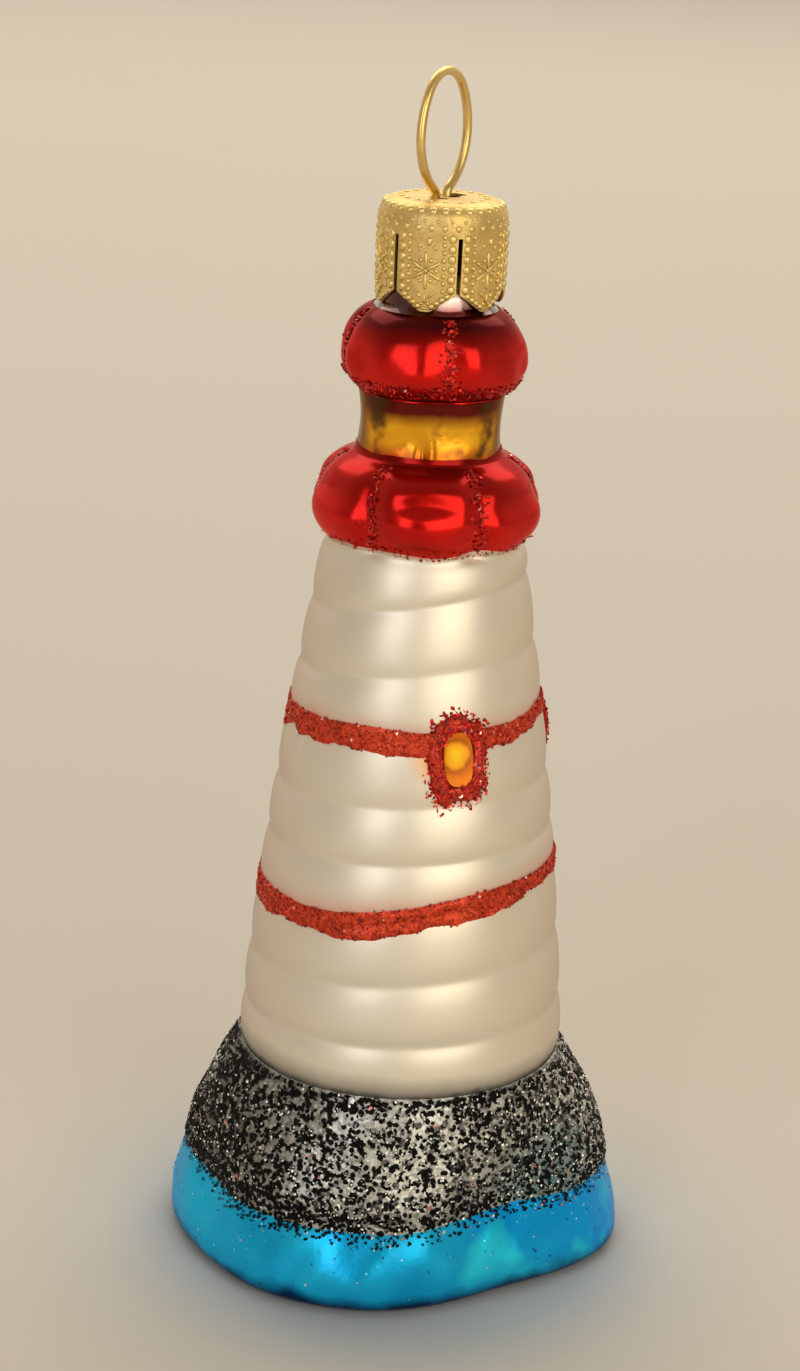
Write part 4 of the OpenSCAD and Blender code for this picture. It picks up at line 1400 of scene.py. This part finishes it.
def stamped_spots(cap_r, slit_z):
    """Every raised mark of the cap, as (azimuth, height, half width, half height, rise,
    turn in degrees, how far the surface leans up, radius)."""
    pitch = 360 / TONGUES
    v_top = CAP_LOW_Z + TONGUE_TIP
    spots = []

    def on_skirt(az, z, w, h, rise, turn=0.0):
        low_pull = max(0.0, (slit_z - z) / (slit_z - CAP_LOW_Z)) ** 3
        spots.append((az, z, w, h, rise, turn, 0.0, cap_r - 0.06 - 0.14 * low_pull))

    def width(mm):
        return math.degrees(mm / cap_r)

    for k in range(TONGUES):
        mid = SLIT_AZ + pitch / 2 + k * pitch
        for side in (-1, 1):
            for j in range(6):
                z = mix(slit_z - 0.05, v_top + 0.35, j / 5)
                on_skirt(mid + side * (pitch / 2 - width(0.74)), z, 0.43, 0.50, 0.29)
            for j in range(8):
                z = mix(slit_z + 0.1, v_top + 0.2, j / 7)
                on_skirt(mid + side * (pitch / 2 - width(1.50)), z, 0.23, 0.28, 0.2)
            for j in range(4):
                t = (j + 0.6) / 4
                phi = side * (pitch / 2 - width(0.75)) * (1 - 0.80 * t)
                on_skirt(mid + phi, mix(v_top - 0.1, CAP_LOW_Z + 0.42, t), 0.30, 0.34, 0.2,
                         side * 35)
        centre_z = slit_z - 3.1
        for j in range(6):
            turn = 60 * j
            reach = 0.92 if j % 3 else 1.0
            c, q = math.cos(math.radians(turn)), math.sin(math.radians(turn))
            on_skirt(mid + width(reach * q), centre_z + reach * c, 0.21, 0.84, 0.17, turn)
            turn = math.radians(60 * j + 30)
            on_skirt(mid + width(1.02 * math.sin(turn)), centre_z + 1.12 * math.cos(turn),
                     0.2, 0.24, 0.15)
        on_skirt(mid, centre_z, 0.24, 0.24, 0.19)
        on_skirt(mid + width(0.25), slit_z - 0.35, 0.30, 0.44, 0.2, 15)
        on_skirt(mid - width(0.65), slit_z - 0.75, 0.18, 0.25, 0.14)
        on_skirt(mid + width(0.85), slit_z - 0.95, 0.18, 0.25, 0.14)
        on_skirt(mid, v_top - 0.55, 0.16, 0.5, 0.2)
        for side in (-1, 1):
            on_skirt(mid + side * width(0.62), v_top - 0.2, 0.15, 0.42, 0.18, side * 40)
            on_skirt(mid + side * width(0.35), CAP_LOW_Z + 0.8, 0.17, 0.2, 0.14)
        on_skirt(mid, CAP_LOW_Z + 0.35, 0.5, 0.13, 0.12)
    for j in range(30):
        on_skirt(12.0 * j + 4, slit_z + 0.92, 0.33, 0.36, 0.2)
        on_skirt(12.0 * j - 2, slit_z + 1.55, 0.2, 0.2, 0.12)
        spots.append((12.0 * j + 4, CAP_TOP_Z - 0.66, 0.48, 0.44, 0.34, 0.0, 45.0,
                      cap_r - 0.60))
    for j in range(18):
        spots.append((20.0 * j, CAP_TOP_Z - 0.02, 0.26, 0.3, 0.16, 0.0, 88.0, cap_r - 2.1))
    return spots


def cap_relief(cap_r, centre, slit_z):
    """The marks pressed up in the cap: pillows along the slits, beads and stars."""
    table = np.array(stamped_spots(cap_r, slit_z))
    az, z, w, h, rise, turn, lean, r = table.T
    zero = 0 * az
    across = np.stack([cosd(az), sind(az), zero], 1)
    out = np.stack([sind(az) * cosd(lean), -cosd(az) * cosd(lean), sind(lean)], 1)
    up = np.stack([-sind(az) * sind(lean), cosd(az) * sind(lean), cosd(lean)], 1)
    c, q = cosd(turn)[:, None], sind(turn)[:, None]
    u, v = across * c - up * q, up * c + across * q
    axes = np.stack([u * w[:, None], v * h[:, None], out * rise[:, None]], 1) * MM
    places = on_body(r, z, az) + np.array([centre[0], centre[1], 0]) * MM
    deselect_all()
    bpy.ops.mesh.primitive_uv_sphere_add(segments=10, ring_count=6, radius=1.0)
    pattern = rename(bpy.context.object, "bead")
    obj = scatter("cap_relief", pattern, places, axes, np.ones(len(az), int))
    activate(obj)
    bpy.ops.object.shade_smooth()
    return obj


def arc_points(start, heading, radius, angle, n):
    """Points of an arc in the XZ plane, and the place and heading at its end.

    A positive angle turns clockwise, seen with X to the right and Z up."""
    side = 1 if angle > 0 else -1
    centre = start + side * radius * np.array([math.sin(heading + math.pi / 2),
                                               math.cos(heading + math.pi / 2)])
    spoke = start - centre
    points = []
    for t in np.linspace(0, abs(angle), n)[1:]:
        c, s = math.cos(-side * t), math.sin(-side * t)
        points.append(centre + np.array([c * spoke[0] - s * spoke[1],
                                         s * spoke[0] + c * spoke[1]]))
    return points, points[-1], heading + angle


def hanger_path():
    """One side of the hanger, from the top of the loop down to a leg's end."""
    wire_d = 2 * sizes().wire_radius / MM
    loop_half = (9.6 - wire_d) / 2
    side_r, bend_r, leg_gap = 7.5, 1.2, 2.0
    arch = math.radians(55)
    arch_r = (loop_half - side_r * (1 - math.sin(arch))) / math.sin(arch)
    top = LOOP_TOP_Z - wire_d / 2
    widest = top - arch_r * (1 - math.cos(arch)) - side_r * math.cos(arch)
    drop = widest - CAP_TOP_Z + 0.15
    inward = loop_half - leg_gap / 2
    close_r = (drop * drop + inward * inward) / (2 * inward)
    close = math.asin(drop / close_r)
    leg_out = NECK_R - GLASS_WALL - wire_d / 2 - 0.15
    leg_drop = 11.0
    leg = math.atan((leg_out - leg_gap / 2) / leg_drop)
    place, heading = np.array([0.0, top]), math.pi / 2
    path = [place]
    for radius, angle, n in ((arch_r, arch, 9), (side_r, math.pi / 2 - arch, 9),
                             (close_r - bend_r, close, 13), (bend_r, -(close + leg), 9)):
        pts, place, heading = arc_points(place, heading, radius, angle, n)
        path += pts
    length = (leg_drop - bend_r * math.sin(leg)) / math.cos(leg)
    for t in (0.33, 0.66, 1.0):
        path.append(place + t * length * np.array([math.sin(heading), math.cos(heading)]))
    return path


def build_hanger():
    right = hanger_path()
    whole = [np.array([-p[0], p[1]]) for p in right[:0:-1]] + right
    curve = bpy.data.curves.new("wire_path", "CURVE")
    curve.dimensions = "3D"
    curve.bevel_depth = sizes().wire_radius
    curve.bevel_resolution = 6
    curve.use_fill_caps = True
    spline = curve.splines.new("POLY")
    spline.points.add(len(whole) - 1)
    for point, (x, z) in zip(spline.points, whole):
        point.co = (x * float(sind(LOOP_AZ)) * MM, -x * float(cosd(LOOP_AZ)) * MM, z * MM, 1)
    obj = bpy.data.objects.new("spring_wire", curve)
    bpy.context.scene.collection.objects.link(obj)
    activate(obj)
    bpy.ops.object.convert(target="MESH")
    obj = bpy.context.object
    rename(obj, "spring_wire")
    recalculate(obj)
    smooth(obj, 40)
    finish_piece(obj, "gold_wire", [gold_material("wire_gold", 0.16, False)], "hanger_wire")


# ---------------------------------------------------------------------------
# Stage. The range and height are in millimetres, the angles in degrees.
# ---------------------------------------------------------------------------
CAMERA_AZ = -22.0
CAMERA_RANGE = 287.0
CAMERA_HEIGHT = 150.3
CAMERA_PITCH = 17.6
CAMERA_ROLL = 2.75
CAMERA_YAW = -0.34
CAMERA_LENS = 78.774617


def area_light(name, place, target, size, power, colour, size_y=None):
    data = bpy.data.lights.new(name, "AREA")
    data.shape = "RECTANGLE"
    data.size = size
    data.size_y = size_y or size
    data.energy = power
    data.color = colour
    obj = bpy.data.objects.new(name, data)
    bpy.context.scene.collection.objects.link(obj)
    obj.location = place
    aim = Vector(target) - Vector(place)
    obj.rotation_euler = aim.to_track_quat("-Z", "Y").to_euler()
    return obj


def camera_frame():
    """The camera's right and forward directions over the floor."""
    a = math.radians(CAMERA_AZ)
    forward = Vector((-math.sin(a), math.cos(a), 0))
    right = Vector((math.cos(a), math.sin(a), 0))
    return right, forward


def room_world(forward):
    """A dim room: darker behind the viewer, paler towards the backdrop."""
    world = bpy.data.worlds.new("room")
    world.use_nodes = True
    tree = world.node_tree
    back = tree.nodes["Background"]
    where = tree.nodes.new("ShaderNodeTexCoord")
    ahead = vector_node(tree, "DOT_PRODUCT", where.outputs["Generated"], forward)
    share = scaled(tree, ahead, 0.5, 0.5)
    colour = ramp_node(tree, share, [
        (0.0, (0.24, 0.205, 0.165)), (0.3, (0.34, 0.295, 0.24)), (0.6, (0.58, 0.51, 0.41)),
        (1.0, (0.95, 0.85, 0.71))])
    tree.links.new(colour, back.inputs["Color"])
    back.inputs["Strength"].default_value = 1.0
    return world


def build_stage():
    right, forward = camera_frame()
    deselect_all()
    bpy.ops.mesh.primitive_plane_add(size=14.0, location=(0, 0, 0))
    floor = rename(bpy.context.object, "floor")
    mat, tree, shader, vec = new_material("paper", Roughness=0.8, Specular_IOR_Level=0.2)
    drift = noise_node(tree, vec, 3.0)
    colour = mix_colours(tree, drift, (0.60, 0.555, 0.485), (0.63, 0.585, 0.515))
    # The floor is painted darker towards the camera and lighter far behind: painted light
    # fall-off.
    away = vector_node(tree, "DOT_PRODUCT", vec, forward - right * 0.12)
    deep = scaled(tree, away, 0.625, 0.0625)
    painted_falloff = ramp_node(tree, deep, [(0.0, (0.97, 0.97, 0.97)), (0.09, (0.98, 0.98, 0.98)),
                                  (0.25, (1.0, 1.0, 1.0)), (0.8, (1.04, 1.04, 1.04))])
    node = tree.nodes.new("ShaderNodeMix")
    node.data_type, node.blend_type = "RGBA", "MULTIPLY"
    node.inputs[0].default_value = 1.0
    tree.links.new(colour, node.inputs[6])
    tree.links.new(painted_falloff, node.inputs[7])
    # Round the base the floor is painted darker and bluer: a painted contact shadow with blue
    # light thrown from the sea.
    near = distance_share(tree, vec, forward * -0.004, 0.06)
    painted_shadow_bounce = ramp_node(tree, near, [(0.36, (0.42, 0.42, 0.42)), (0.5, (0.12, 0.12, 0.12)),
                                    (0.72, (0, 0, 0))])
    tree.links.new(mix_colours(tree, painted_shadow_bounce, node.outputs[2], (0.25, 0.40, 0.56)),
                   shader.inputs["Base Color"])
    floor.data.materials.append(mat)
    bpy.context.scene.world = room_world(forward)

    def at(x, y, z):
        return right * x + forward * y + Vector((0, 0, z))

    mid = (0, 0, 0.06)
    area_light("warm_light", at(0.52, -0.90, 0.40), mid, 0.85, 4.5, (1.0, 0.93, 0.76), 0.85)
    area_light("cool_light", at(-0.48, -0.95, 0.42), mid, 0.42, 2.4, (0.95, 0.96, 1.0), 0.85)
    area_light("ceiling_light", at(0.0, 1.05, 1.30), at(0, 0.4, 0), 2.2, 15.0,
               (1.0, 0.95, 0.87), 1.2)

    data = bpy.data.cameras.new("camera")
    data.sensor_width = 36.0
    data.lens = CAMERA_LENS
    data.clip_start = 0.01
    data.clip_end = 20
    cam = bpy.data.objects.new("camera", data)
    bpy.context.scene.collection.objects.link(cam)
    pitch, yaw, roll = (math.radians(v) for v in (CAMERA_PITCH, CAMERA_YAW, CAMERA_ROLL))
    look = (forward * math.cos(yaw) * math.cos(pitch) + right * math.sin(yaw) * math.cos(pitch)
            - Vector((0, 0, math.sin(pitch))))
    side = (right * math.cos(yaw) - forward * math.sin(yaw))
    up = side.cross(look)
    r = side * math.cos(roll) + up * math.sin(roll)
    u = -side * math.sin(roll) + up * math.cos(roll)
    turn = Matrix((r, u, -look)).transposed().to_4x4()
    place = -forward * CAMERA_RANGE * MM + Vector((0, 0, CAMERA_HEIGHT * MM))
    cam.matrix_world = Matrix.Translation(place) @ turn
    bpy.context.scene.camera = cam
    bpy.context.scene.view_settings.view_transform = "Standard"


# ---------------------------------------------------------------------------
# Operators, panel and registration.
# ---------------------------------------------------------------------------
class ORNAMENT_OT_glass(bpy.types.Operator):
    """Blow the hollow glass body"""
    bl_idname = "ornament.glass"
    bl_label = "Blow the glass"

    def execute(self, context):
        build_glass()
        return {"FINISHED"}


class ORNAMENT_OT_sea(bpy.types.Operator):
    """Lay the turquoise lacquer of the sea"""
    bl_idname = "ornament.sea"
    bl_label = "Lacquer the sea"

    def execute(self, context):
        build_sea()
        return {"FINISHED"}


class ORNAMENT_OT_rock(bpy.types.Operator):
    """Cover the rock with black and silver flakes"""
    bl_idname = "ornament.rock"
    bl_label = "Glitter the rock"

    def execute(self, context):
        build_rock()
        return {"FINISHED"}


class ORNAMENT_OT_tower(bpy.types.Operator):
    """Lay the pearl lacquer of the tower"""
    bl_idname = "ornament.tower"
    bl_label = "Lacquer the tower"

    def execute(self, context):
        build_tower()
        return {"FINISHED"}


class ORNAMENT_OT_bands(bpy.types.Operator):
    """Run the two red glitter bands round the tower"""
    bl_idname = "ornament.bands"
    bl_label = "Lay the bands"

    def execute(self, context):
        build_band(LOWER_GROOVE, "lower", "lower_band", 71, 5200)
        build_band(UPPER_GROOVE, "upper", "upper_band", 72, 3900)
        return {"FINISHED"}


class ORNAMENT_OT_windows(bpy.types.Operator):
    """Paint the panes and ring them with coarse glitter"""
    bl_idname = "ornament.windows"
    bl_label = "Paint the windows"

    def execute(self, context):
        for i, side in enumerate(WINDOW_AZS):
            build_window(side, 81 + i)
        return {"FINISHED"}


class ORNAMENT_OT_gallery(bpy.types.Operator):
    """Lacquer and glitter the gallery's cushion"""
    bl_idname = "ornament.gallery"
    bl_label = "Finish the gallery"

    def execute(self, context):
        build_gallery()
        return {"FINISHED"}


class ORNAMENT_OT_lantern(bpy.types.Operator):
    """Lay the amber lacquer of the lantern"""
    bl_idname = "ornament.lantern"
    bl_label = "Lacquer the lantern"

    def execute(self, context):
        build_lantern()
        return {"FINISHED"}


class ORNAMENT_OT_roof(bpy.types.Operator):
    """Lacquer and glitter the roof's cushion"""
    bl_idname = "ornament.roof"
    bl_label = "Finish the roof"

    def execute(self, context):
        build_roof()
        return {"FINISHED"}


class ORNAMENT_OT_cap(bpy.types.Operator):
    """Stamp the gold cap with its tongues, beads and stars"""
    bl_idname = "ornament.cap"
    bl_label = "Stamp the cap"

    def execute(self, context):
        build_cap()
        return {"FINISHED"}


class ORNAMENT_OT_hanger(bpy.types.Operator):
    """Bend the spring wire of the hanger"""
    bl_idname = "ornament.hanger"
    bl_label = "Bend the hanger"

    def execute(self, context):
        build_hanger()
        return {"FINISHED"}


class ORNAMENT_OT_stage(bpy.types.Operator):
    """Set the floor, lights and camera"""
    bl_idname = "ornament.stage"
    bl_label = "Set the stage"

    def execute(self, context):
        build_stage()
        return {"FINISHED"}


STEPS = ("glass", "sea", "rock", "tower", "bands", "windows", "gallery", "lantern",
         "roof", "cap", "hanger", "stage")


class ORNAMENT_PT_panel(bpy.types.Panel):
    bl_idname = "ORNAMENT_PT_panel"
    bl_label = "Lighthouse ornament"
    bl_space_type = "VIEW_3D"
    bl_region_type = "UI"
    bl_category = "Ornament"

    def draw(self, context):
        for group in (context.scene.ornament_sizes, context.scene.ornament_colours):
            for key in group.__annotations__:
                self.layout.prop(group, key)
        for step in STEPS:
            self.layout.operator("ornament." + step)


CLASSES = (
    OrnamentSizes, OrnamentColours, ORNAMENT_OT_glass, ORNAMENT_OT_sea, ORNAMENT_OT_rock,
    ORNAMENT_OT_tower, ORNAMENT_OT_bands, ORNAMENT_OT_windows, ORNAMENT_OT_gallery,
    ORNAMENT_OT_lantern, ORNAMENT_OT_roof, ORNAMENT_OT_cap, ORNAMENT_OT_hanger,
    ORNAMENT_OT_stage, ORNAMENT_PT_panel)


def register():
    for cls in CLASSES:
        bpy.utils.register_class(cls)
    bpy.types.Scene.ornament_sizes = bpy.props.PointerProperty(type=OrnamentSizes)
    bpy.types.Scene.ornament_colours = bpy.props.PointerProperty(type=OrnamentColours)


def unregister():
    del bpy.types.Scene.ornament_sizes
    del bpy.types.Scene.ornament_colours
    for cls in reversed(CLASSES):
        bpy.utils.unregister_class(cls)


def main():
    register()
    uneven_lacquer_group()
    height_band_group()
    for step in STEPS:
        getattr(bpy.ops.ornament, step)()
    bpy.context.view_layer.update()


if __name__ == "__main__":
    main()
